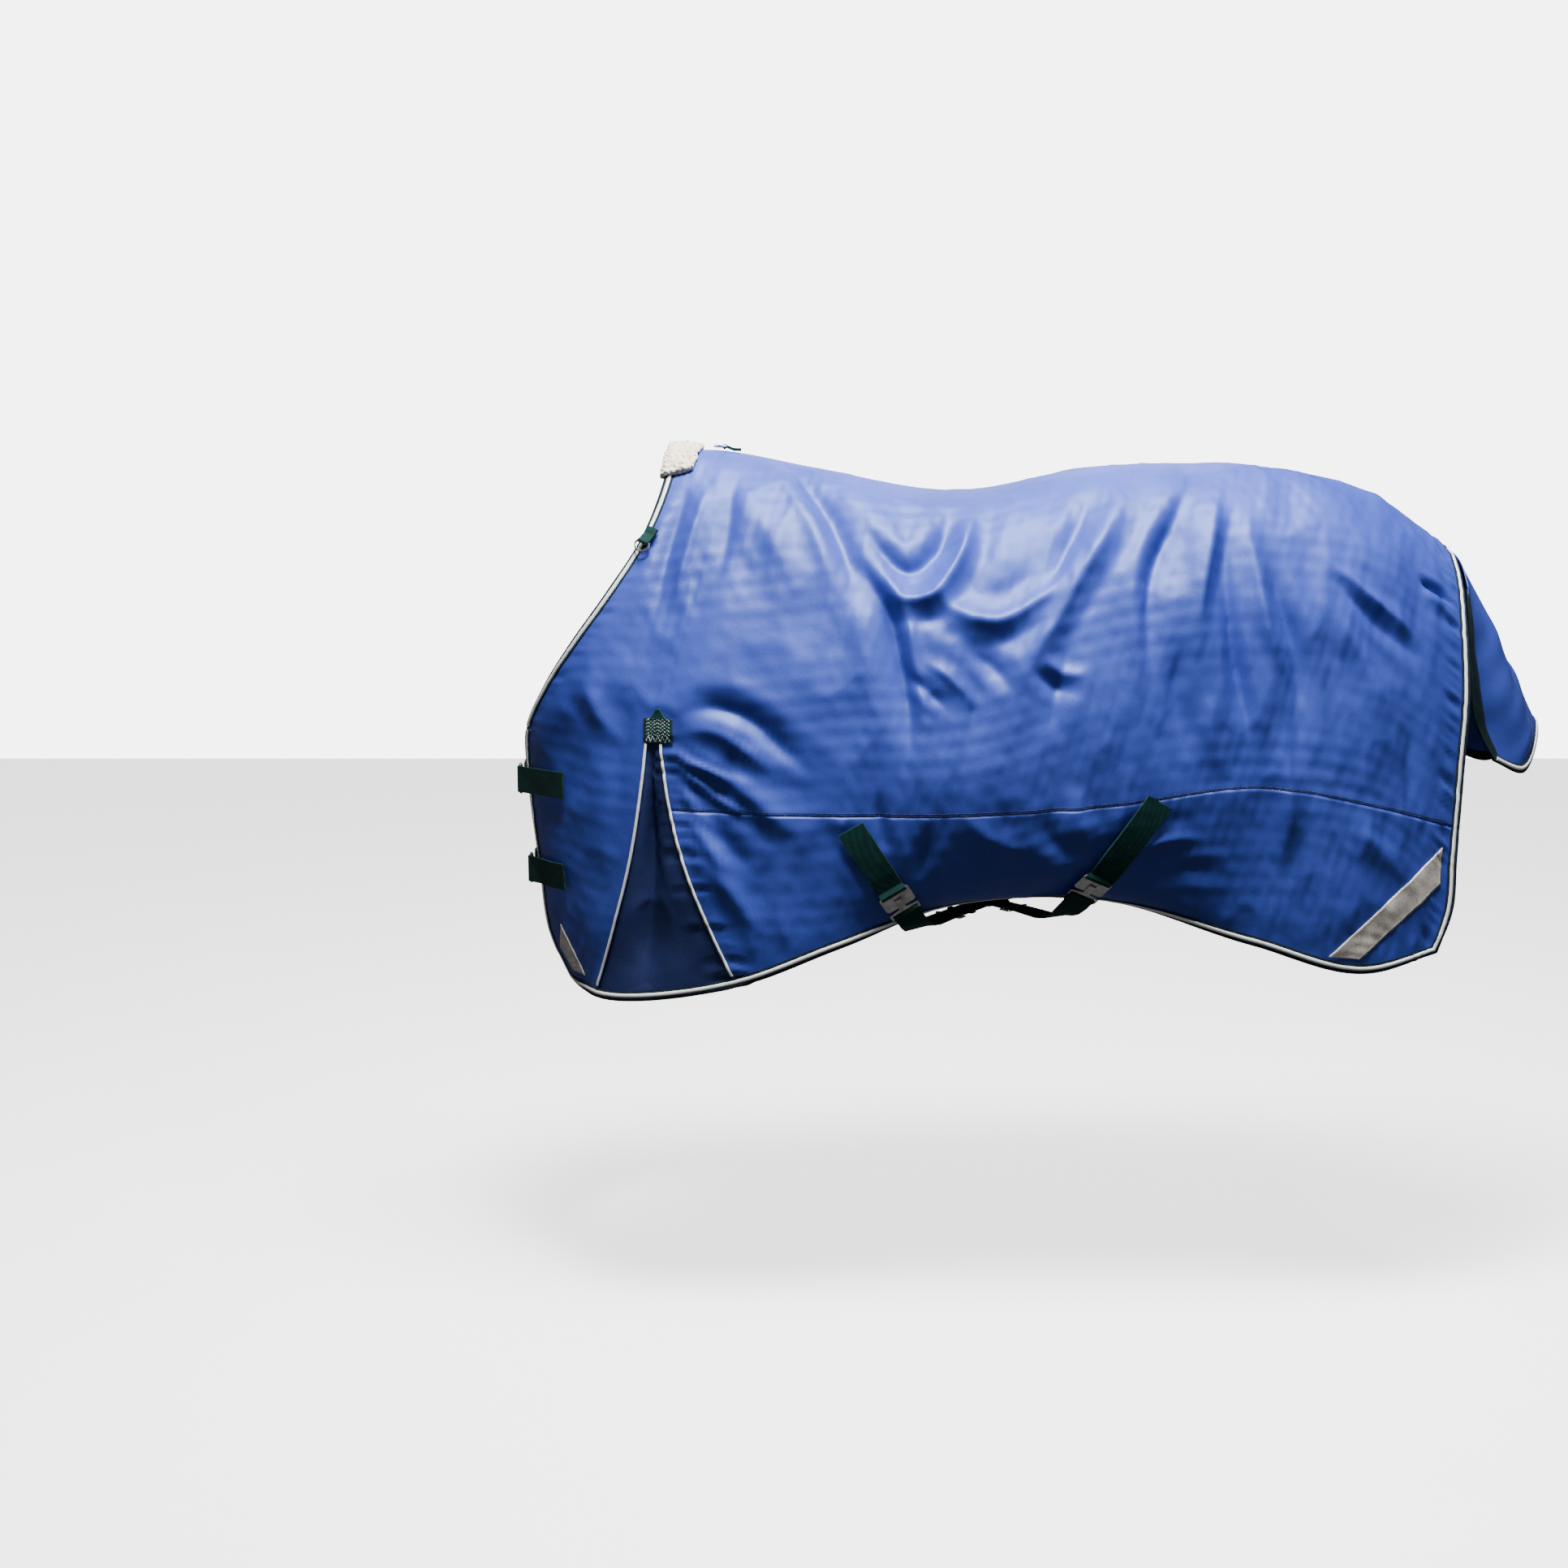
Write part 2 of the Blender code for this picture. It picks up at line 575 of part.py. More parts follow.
def place_on(side, xz, towards, lift):
    """A place on a half at (x, z), pointing towards another (x, z)."""
    column, level = find(side, *xz)
    ahead = np.array(xz) + 0.01 * unit(np.subtract(towards, xz))
    start, end = HALF[side].point(column, level), HALF[side].point(*find(side, *ahead))
    out = HALF[side].normal(column, level)
    return Place(start + lift * out, end - start, out)


def web(name, path, width, material):
    """Webbing along a path of (point, direction across it)."""
    line = np.array([p for p, _ in path])
    ahead = np.vstack([line[1:], line[-1:]]) - np.vstack([line[:1], line[:-1]])
    rings = []
    for (point, wide), along in zip(path, ahead):
        wide = unit(wide)
        face = unit(np.cross(along, wide)) * WEB / 2
        side = wide * width / 2
        rings.append([point - side - face, point + side - face, point + side + face, point - side + face])
    return sweep(name, rings, material)


def fold(place, bar, height, wire, towards=1):
    """Path of webbing folded round a bar: it comes in low, goes round the far side and leaves high."""
    radius = 1.06 * (wire + SLACK + WEB / 2)
    meet = math.asin(LAYERS_APART / 2 / radius)
    turns = np.linspace(math.pi + meet, 3 * math.pi - meet, 9)
    return [
        (place.at(bar + towards * radius * math.cos(a), height + radius * math.sin(a)), place.wide)
        for a in turns
    ]


def surface_stations(side, start, end, lift, steps=5):
    """Path on a half between two (x, z) points, as (point, normal)."""
    found = []
    for k in range(steps + 1):
        place = find(side, *(np.array(start) + k / steps * np.subtract(end, start)))
        found.append((HALF[side].lifted(*place, lift), HALF[side].normal(*place)))
    return found


def add_chape(name, side, start, end, place, bar, wire, width, lift, material):
    """Short doubled webbing, sewn to the rug from start to end and folded round a bar beyond it."""
    layers = []
    for height in (lift, lift + LAYERS_APART):
        stations = surface_stations(side, start, end, height)
        layers.append([(point, np.cross(normal, place.along)) for point, normal in stations])
    path = layers[0] + fold(place, bar, 0, wire) + list(reversed(layers[1]))
    return web(name, path, width, material)


def add_ring(name, place, half_width, reach, wire, material):
    """D-shaped wire ring: a straight bar across the webbing and a half oval beyond it."""
    corner = 3 * MM
    outline = [(0, -half_width + corner), (0, half_width - corner)]
    for k in range(1, 12):
        turn = math.pi * k / 12
        outline.append((corner + (reach - corner) * math.sin(turn), half_width * math.cos(turn)))
    line = np.array([place.at(s, 0, w) for s, w in outline])
    ahead = np.roll(line, -1, axis=0) - np.roll(line, 1, axis=0)
    rings = []
    for point, along in zip(line, ahead):
        across = unit(np.cross(place.out, along))
        turns = [2 * math.pi * (k + 0.5) / 8 for k in range(8)]
        size = wire / math.cos(math.pi / 8)
        rings.append([point + size * (math.cos(a) * across + math.sin(a) * place.out) for a in turns])
    return sweep(name, rings, material, closed=True)


def plate(name, place, outline, low, high, material, holes=(), axes="swh"):
    """Flat piece with holes. Its outline lies on the first two axes and it is thick along the third."""
    loops = [outline, *holes]
    flat = [point for loop in loops for point in loop]
    triangles = tessellate_polygon([[Vector((*p, 0)) for p in loop] for loop in loops])
    vertices = []
    for height in (low, high):
        for a, b in flat:
            vertices.append(place.at(**{axes[0]: a, axes[1]: b, axes[2]: height}))
    count = len(flat)
    faces = []
    corners = [[Vector(flat[i]) for i in triangle] for triangle in triangles]
    total = sum((b - a).cross(c - a) for a, b, c in corners)
    for triangle in triangles:
        triangle = list(triangle) if total > 0 else list(reversed(triangle))
        faces.append([k + count for k in triangle])
        faces.append(list(reversed(triangle)))
    start = 0
    for number, loop in enumerate(loops):
        area = sum(a[0] * b[1] - b[0] * a[1] for a, b in zip(loop, loop[1:] + loop[:1]))
        outer = (area > 0) == (number == 0)
        for k in range(len(loop)):
            p, q = start + k, start + (k + 1) % len(loop)
            side = [p, q, q + count, p + count]
            faces.append(side if outer else list(reversed(side)))
        start += len(loop)
    return add_solid(name, vertices, faces, material)


def rectangle(low_a, high_a, low_b, high_b, corner=0.0):
    """Corners of a rectangle, cut off at 45 degrees where a corner size is given."""
    if not corner:
        return [(low_a, low_b), (high_a, low_b), (high_a, high_b), (low_a, high_b)]
    return [
        (low_a + corner, low_b), (high_a - corner, low_b),
        (high_a, low_b + corner), (high_a, high_b - corner),
        (high_a - corner, high_b), (low_a + corner, high_b),
        (low_a, high_b - corner), (low_a, low_b + corner),
    ]


def join(main, *others):
    """Unites solids that overlap into the first one."""
    for other in others:
        modifier = main.modifiers.new("join_" + other.name, "BOOLEAN")
        modifier.operation = "UNION"
        modifier.object = other
        other.hide_render = True
        other.display_type = "WIRE"


def strip_outline(line, thickness):
    """Outline of a strip of that thickness along a flat line."""
    line = np.array(line, float)
    ahead = np.vstack([line[1:], line[-1:]]) - np.vstack([line[:1], line[:-1]])
    ahead /= np.linalg.norm(ahead, axis=1)[:, None]
    side = np.stack([-ahead[:, 1], ahead[:, 0]], axis=1) * thickness / 2
    return [tuple(p) for p in line + side] + [tuple(p) for p in (line - side)[::-1]]


def add_snap_body(name, place, material):
    """Snap hook: a flat eye for the webbing and a hook that stands across the ring's wire."""
    inside = WEBBING / 2 + 1 * MM
    outline = rectangle(EYE_BAR - 22 * MM, EYE_BAR + BAR / 2, -inside - 4 * MM, inside + 4 * MM, 4 * MM)
    slot = rectangle(EYE_BAR - 8.5 * MM, EYE_BAR - BAR / 2, -inside, inside)
    eye = plate(name, place, outline, -PLATE / 2, PLATE / 2, material, [slot])
    turns = np.radians(np.linspace(-35, -245, 12))
    line = [(EYE_BAR - 12 * MM, 0), (EYE_BAR - 20 * MM, -2 * MM)]
    line += [(HOOK_CENTRE + HOOK_RADIUS * math.cos(a), HOOK_RADIUS * math.sin(a)) for a in turns]
    hook = plate(name + "_hook", place, strip_outline(line, 4 * MM), -5 * MM, 5 * MM, material, axes="shw")
    lug_start = GATE_PIVOT[0] + 1.8 * MM
    lug = rectangle(lug_start, lug_start + 8 * MM, -3 * MM, 6.5 * MM, 1.5 * MM)
    ear = plate(name + "_ear", place, lug, -4.5 * MM, 4.5 * MM, material, axes="shw")
    join(eye, hook, ear)


def add_snap_gate(name, place, material):
    """Sprung gate from its pivot to the hook's tip, round at the pivot."""
    half, pivot, tip = 1.2 * MM, np.array(GATE_PIVOT), np.array(GATE_TIP)
    ahead = unit(tip - pivot)
    side = np.array([-ahead[1], ahead[0]])
    turns = np.linspace(-math.pi / 2, math.pi / 2, 5)
    outline = [tuple(pivot - half * math.cos(a) * ahead - half * math.sin(a) * side) for a in turns]
    outline += [tuple(tip - half * side), tuple(tip + half * side)]
    return plate(name, place, outline, -3.5 * MM, 3.5 * MM, material, axes="shw")


def add_clip_slot(name, place, material):
    """Plate that takes the hook of a surcingle clip."""
    inside = WEBBING / 2 + 1 * MM
    plate(
        name, place, rectangle(-CLIP_BAR - BAR / 2, 10 * MM, -inside - 4 * MM, inside + 4 * MM, 4 * MM),
        -PLATE / 2, PLATE / 2, material,
        [
            rectangle(-CLIP_BAR + BAR / 2, -CLIP_BAR + 7 * MM, -inside, inside),
            rectangle(-12 * MM, -2 * MM, -8 * MM, 8 * MM),
        ],
    )


def add_clip_hook(name, place, material):
    """Plate whose tongue lies on the slot plate, with a T-shaped head below the slot."""
    inside, edge = WEBBING / 2 + 1 * MM, WEBBING / 2 + 5 * MM
    start, end, tongue = 12 * MM, CLIP_BAR + BAR / 2, 7 * MM
    low = PLATE / 2 + SLACK
    outline = [
        (-9 * MM, -tongue), (start, -tongue), (start + 4 * MM, -edge), (end, -edge),
        (end, edge), (start + 4 * MM, edge), (start, tongue), (-9 * MM, tongue),
    ]
    slot = rectangle(CLIP_BAR - 7 * MM, CLIP_BAR - BAR / 2, -inside, inside)
    main = plate(name, place, outline, low, low + PLATE, material, [slot])
    under = -PLATE / 2 - SLACK
    shank, cap = rectangle(-7 * MM, -3.4 * MM, -6 * MM, 6 * MM), rectangle(-7.5 * MM, -3 * MM, -11 * MM, 11 * MM)
    neck = plate(name + "_neck", place, shank, under - 1 * MM, low + 1 * MM, material)
    head = plate(name + "_head", place, cap, under - 1.6 * MM, under, material)
    join(main, neck, head)


def add_adjuster(name, place, reach, material):
    """Three-bar slide: a slotted plate above the strap and a bar below it, joined at the sides."""
    inside, edge = WEBBING / 2 + 1.2 * MM, WEBBING / 2 + 5 * MM
    bar = 2.5 * MM
    low = WEB / 2 + SLACK
    slots = [
        rectangle(sign * (bar + reach - 3 * MM) / 2 - (reach - 3 * MM - bar) / 2,
                  sign * (bar + reach - 3 * MM) / 2 + (reach - 3 * MM - bar) / 2, -inside, inside)
        for sign in (-1, 1)
    ]
    main = plate(name, place, rectangle(-reach, reach, -edge, edge, 3 * MM), low, low + PLATE, material, slots)
    foot, top, outer, inner = -low - 1.6 * MM, low + 1 * MM, edge - 1 * MM, inside - 0.4 * MM
    cradle = [(-outer, foot), (outer, foot), (outer, top), (inner, top)]
    cradle += [(inner, -low), (-inner, -low), (-inner, top), (-outer, top)]
    below = plate(name + "_cradle", place, cradle, -bar + 0.4 * MM, bar - 0.4 * MM, material, axes="whs")
    join(main, below)


def add_keeper(name, place, material):
    """Rubber loop round a strap."""
    inside, edge = WEBBING / 2 + 0.6 * MM, WEBBING / 2 + 3 * MM
    low, high = WEB / 2 + SLACK, WEB / 2 + SLACK + 2 * MM
    plate(
        name, place, rectangle(-edge, edge, -high, high, 1.5 * MM), -7 * MM, 7 * MM, material,
        [rectangle(-inside, inside, -low, low)], axes="whs",
    )


# Where the fittings are

NECK_RING_LIFT = 13.6 * MM
TOP_RING_LIFT = 8 * MM
NECK_RING_LEVELS = (0.37, 0.41)
CHEST_LIFT = 22 * MM
CHAPE_LIFT = 7 * MM
CHEST_CHAPE_LIFT = 8.8 * MM
CLIP_LIFT = 10.1 * MM
STRAP_LIFT = 8.6 * MM

CHEST_HEIGHTS = {"upper": -0.622, "lower": -0.797}
CHEST_RING_INSET = 14 * MM
CHEST_CHAPE = (-0.243, -0.292)
CHEST_ADJUSTER = 100 * MM
BELLY = {
    "front": {
        "chape": (0.284, -0.680), "clip": (0.372, -0.815),
        "straight": [(0.425, -0.205, -0.878), (0.560, 0.010, -0.882)],
        "round": [(0.640, 0.130, -0.878), (0.698, 0.210, -0.862), (0.727, 0.262, -0.828)],
        "sewn": [(0.745, -0.785), (0.836, -0.630)],
    },
    "rear": {
        "chape": (0.836, -0.630), "clip": (0.722, -0.790),
        "straight": [(0.670, -0.205, -0.864), (0.520, 0.010, -0.868)],
        "round": [(0.455, 0.120, -0.872), (0.412, 0.200, -0.878), (0.388, 0.264, -0.868)],
        "sewn": [(0.366, -0.822), (0.284, -0.680)],
    },
}
BELLY_ADJUSTER, BELLY_KEEPER = 0.42, 0.62  # shares of the straight stretch


def top_ring_place():
    origin = HALF[LEFT].point(3.4, 0) + (0, 0, TOP_RING_LIFT)
    return Place(origin, (-1, 0, 0.03), (0.03, 0, 1))


def neck_ring_place(side):
    """Just inside the neck edge, pointing down along it."""
    half = HALF[side]
    here, below = (half.point(*spot(side, FRONT_INSET, v)) for v in NECK_RING_LEVELS)
    out = half.normal(*spot(side, FRONT_INSET, NECK_RING_LEVELS[0]))
    return Place(here + NECK_RING_LIFT * out, below - here, out)


def chest_place(height):
    """At the left front edge, pointing round the chest."""
    half = HALF[LEFT]
    levels = np.linspace(1, 3, 201)
    heights = [-half.point(0, v)[2] for v in levels]
    level = float(np.interp(-height, heights, levels))
    column = CHEST_RING_INSET / np.linalg.norm(half.point(1, level) - half.point(0, level))
    origin = half.lifted(column, level, CHEST_LIFT)
    return Place(origin, (0.05, 1, 0), (-1, 0.05, 0))


def clip_place(strap):
    start, clip = BELLY[strap]["chape"], BELLY[strap]["clip"]
    beyond = np.array(clip) + np.subtract(clip, start)
    return place_on(LEFT, clip, beyond, CLIP_LIFT)


def straight_place(strap, share):
    a, b = (np.array(p) for p in BELLY[strap]["straight"])
    return Place(a + share * (b - a), b - a, (0, 0, -1))


def smooth_web_path(points, outs, per_span):
    """Webbing path through points, with the direction across it from the outward directions."""
    fine = smooth_line(np.hstack([points, np.array(outs) * 0.05]), per_span)
    line, outs = fine[:, :3], fine[:, 3:]
    ahead = np.vstack([line[1:], line[-1:]]) - np.vstack([line[:1], line[:-1]])
    return [(p, np.cross(out, along)) for p, out, along in zip(line, outs, ahead)]


def add_belly_strap(name, strap, place, material):
    """From the clip's hook, under the belly, up to where it is sewn on the right side."""
    path = [(place.at(s, -LAYERS_APART / 2 + PLATE + SLACK), place.wide) for s in (48 * MM, 34 * MM)]
    path += fold(place, CLIP_BAR, PLATE + SLACK, WIRE, towards=-1)
    high = PLATE + SLACK + LAYERS_APART / 2
    a, b = (np.array(p) for p in BELLY[strap]["straight"])
    points = [place.at(s, high) for s in (34 * MM, 50 * MM)]
    outs = [place.out, place.out]
    points += [a + k / 3 * (b - a) for k in range(4)]
    outs += [np.array((0.0, 0.0, -1.0))] * 4
    for point in BELLY[strap]["round"]:
        points.append(np.array(point))
        outs.append(unit(np.array((0.0, point[1], point[2] + 0.65))))
    for point, out in surface_stations(RIGHT, *BELLY[strap]["sewn"], STRAP_LIFT, steps=3):
        points.append(point)
        outs.append(out)
    return web(name, path + smooth_web_path(points, outs, 3), WEBBING, material)


def add_chest_strap(name, place, height, material):
    """From the snap hook's eye round the chest to where it is sewn on the right front."""
    path = [(place.at(EYE_BAR + s, -LAYERS_APART / 2), place.wide) for s in (16 * MM, 9 * MM)]
    path += fold(place, EYE_BAR, 0, WIRE, towards=-1)
    points = [place.at(EYE_BAR + s, LAYERS_APART / 2) for s in (9 * MM, 20 * MM, 36 * MM, 52 * MM)]
    outs = [place.out] * 4
    points += [np.array((-0.315, 0.118, height))]
    outs += [unit(np.array((-0.8, 0.6, 0.0)))]
    for point, out in surface_stations(RIGHT, (-0.262, height), (-0.215, height), CHAPE_LIFT, steps=2):
        points.append(point)
        outs.append(out)
    return web(name, path + smooth_web_path(points, outs, 3), WEBBING, material)


def add_gusset_patch(name, side, material):
    """Small square of webbing with a peaked top over the point of the gusset."""
    place = place_on(side, (-0.076, -0.512), (-0.076, -0.600), 0)
    half_width, half_height, peak = 26 * MM, 23 * MM, 16 * MM
    outline = [
        (half_height, -half_width), (half_height, half_width), (-half_height, half_width),
        (-half_height - peak, 6 * MM), (-half_height - peak, -6 * MM), (-half_height, -half_width),
    ]
    plate(name, place, outline, 6.2 * MM, 7.8 * MM, material)


def add_neck_fittings(green, metal):
    """D-rings for a neck cover, each in its own folded tab of webbing."""
    places = {"top": top_ring_place(), "left": neck_ring_place(LEFT), "right": neck_ring_place(RIGHT)}
    for name, place in places.items():
        add_ring(f"neck_ring_{name}", place, 15.5 * MM, NECK_RING_REACH, NECK_WIRE, metal)
        lift = 3 * MM if name == "top" else NECK_RING_LIFT - 4 * MM
        under, over = (lift - place_lift(name) + sign * LAYERS_APART / 2 for sign in (-1, 1))
        path = [(place.at(s, under), place.wide) for s in (-32 * MM, -18 * MM)]
        path += fold(place, 0, 0, NECK_WIRE)
        path += [(place.at(s, over), place.wide) for s in (-18 * MM, -32 * MM)]
        web(f"neck_chape_{name}", path, NECK_WEBBING, green)


def place_lift(name):
    return TOP_RING_LIFT if name == "top" else NECK_RING_LIFT


def add_chest_fittings(green, metal):
    for name, height in CHEST_HEIGHTS.items():
        place = chest_place(height)
        add_ring(f"chest_ring_{name}", place, WEBBING / 2 + 4 * MM, RING_REACH, WIRE, metal)
        sewn = [(x, height) for x in CHEST_CHAPE]
        add_chape(f"chest_chape_{name}", LEFT, *sewn, place, 0, WIRE, WEBBING, CHEST_CHAPE_LIFT, green)
        add_snap_body(f"chest_snap_{name}", place, metal)
        add_snap_gate(f"chest_snap_gate_{name}", place, metal)
        add_chest_strap(f"chest_strap_{name}", place, height, green)
        adjuster = place.moved(CHEST_ADJUSTER, LAYERS_APART / 2)
        add_adjuster(f"chest_adjuster_{name}", adjuster, 9 * MM, metal)


def add_belly_fittings(green, metal, rubber):
    for name in BELLY:
        place = clip_place(name)
        near = place.at(-CLIP_BAR - 14 * MM)
        start, end = BELLY[name]["chape"], (near[0], near[2])
        add_chape(f"belly_chape_{name}", LEFT, start, end, place, -CLIP_BAR, WIRE, WEBBING, CHAPE_LIFT, green)
        add_clip_slot(f"belly_clip_slot_{name}", place, metal)
        add_clip_hook(f"belly_clip_hook_{name}", place, metal)
        add_belly_strap(f"belly_strap_{name}", name, place, green)
        add_adjuster(f"belly_adjuster_{name}", straight_place(name, BELLY_ADJUSTER), 14 * MM, metal)
        add_keeper(f"belly_keeper_{name}", straight_place(name, BELLY_KEEPER), rubber)


def main():
    clear_scene()
    shell = make_material("shell", NAVY, 0.38)
    inner = make_material("lining", DEEP_NAVY, 0.45)
    green = make_material("webbing", GREEN, 0.70)
    white = make_material("piping", WHITE, 0.45)
    reflective = make_material("reflective", SILVER, 0.35, 0.4)
    fleece = make_material("fleece", CREAM, 0.95)
    metal = make_material("nickel", NICKEL, 0.22, 1.0)
    rubber = make_material("rubber", BLACK, 0.60)

    add_body_sheet("outer_shell", both_sides(UPPER_LEVELS), SHELL, shell)
    add_body_sheet("lining", both_sides(UPPER_LEVELS + LOWER_LEVELS[1:]), LINING, inner)
    for side, word in ((LEFT, "left"), (RIGHT, "right")):
        lower = [(side, v) for v in LOWER_LEVELS]
        chest_end, side_start = (COLUMNS.index(c) for c in GUSSET_COLUMNS)
        add_body_sheet(f"chest_panel_{word}", lower, SHELL, shell, COLUMNS[: chest_end + 1])
        add_body_sheet(f"side_panel_{word}", lower, SHELL, shell, COLUMNS[side_start:])
        add_gusset(f"gusset_{word}", side, inner)
        add_gusset_piping(f"gusset_piping_front_{word}", side, 3, 2.5, white)
        add_gusset_piping(f"gusset_piping_back_{word}", side, 4, 4.5, white)
        add_gusset_patch(f"gusset_patch_{word}", side, green)
        add_binding(f"neck_binding_{word}", neck_stations(side), green)
        add_piping(f"neck_piping_{word}", neck_stations(side), white)
        add_binding(f"body_binding_{word}", body_stations(side), green)
        add_piping(f"body_piping_{word}", body_stations(side), white)
        add_patch(f"reflective_rear_{word}", side, *REFLECTIVE_REAR, reflective)
        behind = 0.0 if side == LEFT else 0.018
        chest = [[(x + behind, z) for x, z in edge] for edge in REFLECTIVE_CHEST]
        add_patch(f"reflective_chest_{word}", side, *chest, reflective, 4)
    add_wither_pad(fleece)
    add_tail_flap(shell, green, white)
    add_neck_fittings(green, metal)
    add_chest_fittings(green, metal)
    add_belly_fittings(green, metal, rubber)


main()
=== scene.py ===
"""Looks of a turnout rug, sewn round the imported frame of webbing, fittings and cloth solids.

Metres, in the frame's own axes: +Z is up, +X runs towards the tail and -Y is the wearer's left side. The
origin is the top of the withers, on the spine. The cloth is lofted through ribs, pushed into folds, and every
trim is then laid on the folded cloth.
"""

import logging
import math
from dataclasses import dataclass, field, replace
from enum import Enum
from typing import Iterable, Optional, Sequence

import bpy
import numpy as np
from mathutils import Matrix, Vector


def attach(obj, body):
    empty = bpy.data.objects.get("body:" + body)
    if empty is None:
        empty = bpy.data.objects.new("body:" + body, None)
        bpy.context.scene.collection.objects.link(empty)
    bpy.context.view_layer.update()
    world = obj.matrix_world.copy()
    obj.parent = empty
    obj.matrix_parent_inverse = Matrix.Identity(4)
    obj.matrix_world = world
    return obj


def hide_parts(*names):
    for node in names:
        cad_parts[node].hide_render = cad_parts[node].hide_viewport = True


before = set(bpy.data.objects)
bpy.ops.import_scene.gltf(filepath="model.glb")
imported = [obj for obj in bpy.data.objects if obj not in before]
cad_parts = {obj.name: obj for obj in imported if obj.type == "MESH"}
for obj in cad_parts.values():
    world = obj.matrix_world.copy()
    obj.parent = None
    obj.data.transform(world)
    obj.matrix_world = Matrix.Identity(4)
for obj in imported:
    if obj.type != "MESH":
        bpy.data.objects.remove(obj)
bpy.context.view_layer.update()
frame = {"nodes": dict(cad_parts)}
LOG = logging.getLogger("rug")

MM = 0.001
ROOT = "rug"
Pair = tuple[float, float]
Triple = tuple[float, float, float]
Piece = bpy.types.Object
Socket = bpy.types.NodeSocket


class Side(Enum):
    """The two halves of the rug, by the sign of their Y."""

    LEFT = -1
    RIGHT = 1


# Ribs of one half: (x, half width, z) from the spine to the hem. Half widths under 0 are past the middle.
FRONT_LEFT = [
    (-0.045, 0.0, 0.006), (-0.050, 0.045, -0.010), (-0.062, 0.085, -0.065), (-0.100, 0.135, -0.165),
    (-0.165, 0.158, -0.265), (-0.235, 0.145, -0.360), (-0.292, 0.105, -0.445), (-0.332, 0.058, -0.530),
    (-0.331, 0.045, -0.630), (-0.313, 0.045, -0.790), (-0.292, 0.060, -0.930), (-0.247, 0.100, -1.008),
]
FRONT_RIGHT = [
    (-0.045, 0.0, 0.006), (-0.050, 0.045, -0.010), (-0.062, 0.085, -0.065), (-0.100, 0.135, -0.165),
    (-0.165, 0.158, -0.265), (-0.235, 0.145, -0.360), (-0.286, 0.105, -0.440), (-0.314, 0.055, -0.505),
    (-0.320, 0.010, -0.545), (-0.314, -0.030, -0.590), (-0.303, -0.055, -0.650), (-0.288, -0.068, -0.790),
    (-0.266, -0.080, -0.920), (-0.225, -0.110, -0.992),
]
MID_LEFT = [
    (-0.012, 0.0, 0.005), (-0.016, 0.050, -0.012), (-0.032, 0.096, -0.070), (-0.075, 0.150, -0.178),
    (-0.132, 0.180, -0.293), (-0.200, 0.180, -0.397), (-0.262, 0.148, -0.490), (-0.290, 0.118, -0.560),
    (-0.297, 0.105, -0.650), (-0.285, 0.108, -0.790), (-0.266, 0.112, -0.925), (-0.232, 0.128, -1.015),
]
MID_RIGHT = [
    (-0.012, 0.0, 0.005), (-0.016, 0.050, -0.012), (-0.032, 0.096, -0.070), (-0.075, 0.150, -0.178),
    (-0.132, 0.180, -0.293), (-0.200, 0.180, -0.397), (-0.258, 0.145, -0.480), (-0.288, 0.100, -0.535),
    (-0.303, 0.066, -0.600), (-0.306, 0.053, -0.670), (-0.292, 0.050, -0.790), (-0.272, 0.040, -0.920),
    (-0.240, 0.025, -1.005),
]
CHEST = [
    (0.015, 0.0, 0.003), (0.010, 0.055, -0.014), (-0.008, 0.105, -0.075), (-0.048, 0.160, -0.190),
    (-0.100, 0.195, -0.320), (-0.165, 0.205, -0.430), (-0.225, 0.175, -0.530), (-0.245, 0.160, -0.650),
    (-0.238, 0.162, -0.790), (-0.228, 0.155, -0.920), (-0.215, 0.155, -1.018),
]
GUSSET_FRONT = [
    (0.040, 0.0, 0.002), (0.036, 0.060, -0.018), (0.020, 0.120, -0.090), (-0.010, 0.180, -0.220),
    (-0.040, 0.225, -0.360), (-0.080, 0.246, -0.500), (-0.092, 0.250, -0.600), (-0.115, 0.248, -0.740),
    (-0.150, 0.230, -0.880), (-0.190, 0.200, -1.018),
]
GUSSET_BACK = [
    (0.066, 0.0, -0.001), (0.062, 0.062, -0.020), (0.047, 0.125, -0.090), (0.020, 0.190, -0.220),
    (-0.018, 0.235, -0.360), (-0.062, 0.254, -0.500), (-0.055, 0.262, -0.600), (-0.025, 0.275, -0.740),
    (0.025, 0.283, -0.870), (0.075, 0.285, -0.978),
]
GIRTH = [
    (0.220, 0.0, -0.030), (0.220, 0.070, -0.045), (0.225, 0.160, -0.115), (0.235, 0.240, -0.260),
    (0.245, 0.285, -0.420), (0.250, 0.305, -0.580), (0.255, 0.305, -0.720), (0.265, 0.290, -0.905),
]
BARREL = [
    (0.500, 0.0, -0.073), (0.500, 0.090, -0.088), (0.500, 0.190, -0.155), (0.500, 0.270, -0.290),
    (0.500, 0.315, -0.460), (0.500, 0.325, -0.600), (0.500, 0.312, -0.710), (0.500, 0.282, -0.785),
    (0.500, 0.240, -0.826), (0.500, 0.200, -0.838),
]
LOIN = [
    (0.750, 0.0, -0.030), (0.750, 0.100, -0.045), (0.750, 0.200, -0.115), (0.750, 0.275, -0.250),
    (0.750, 0.310, -0.420), (0.750, 0.320, -0.580), (0.750, 0.308, -0.700), (0.750, 0.282, -0.775),
    (0.750, 0.246, -0.818), (0.750, 0.212, -0.830),
]
CROUP = [
    (1.020, 0.0, -0.027), (1.020, 0.110, -0.045), (1.020, 0.200, -0.120), (1.020, 0.260, -0.260),
    (1.020, 0.285, -0.430), (1.020, 0.295, -0.600), (1.020, 0.290, -0.760), (1.020, 0.280, -0.900),
]
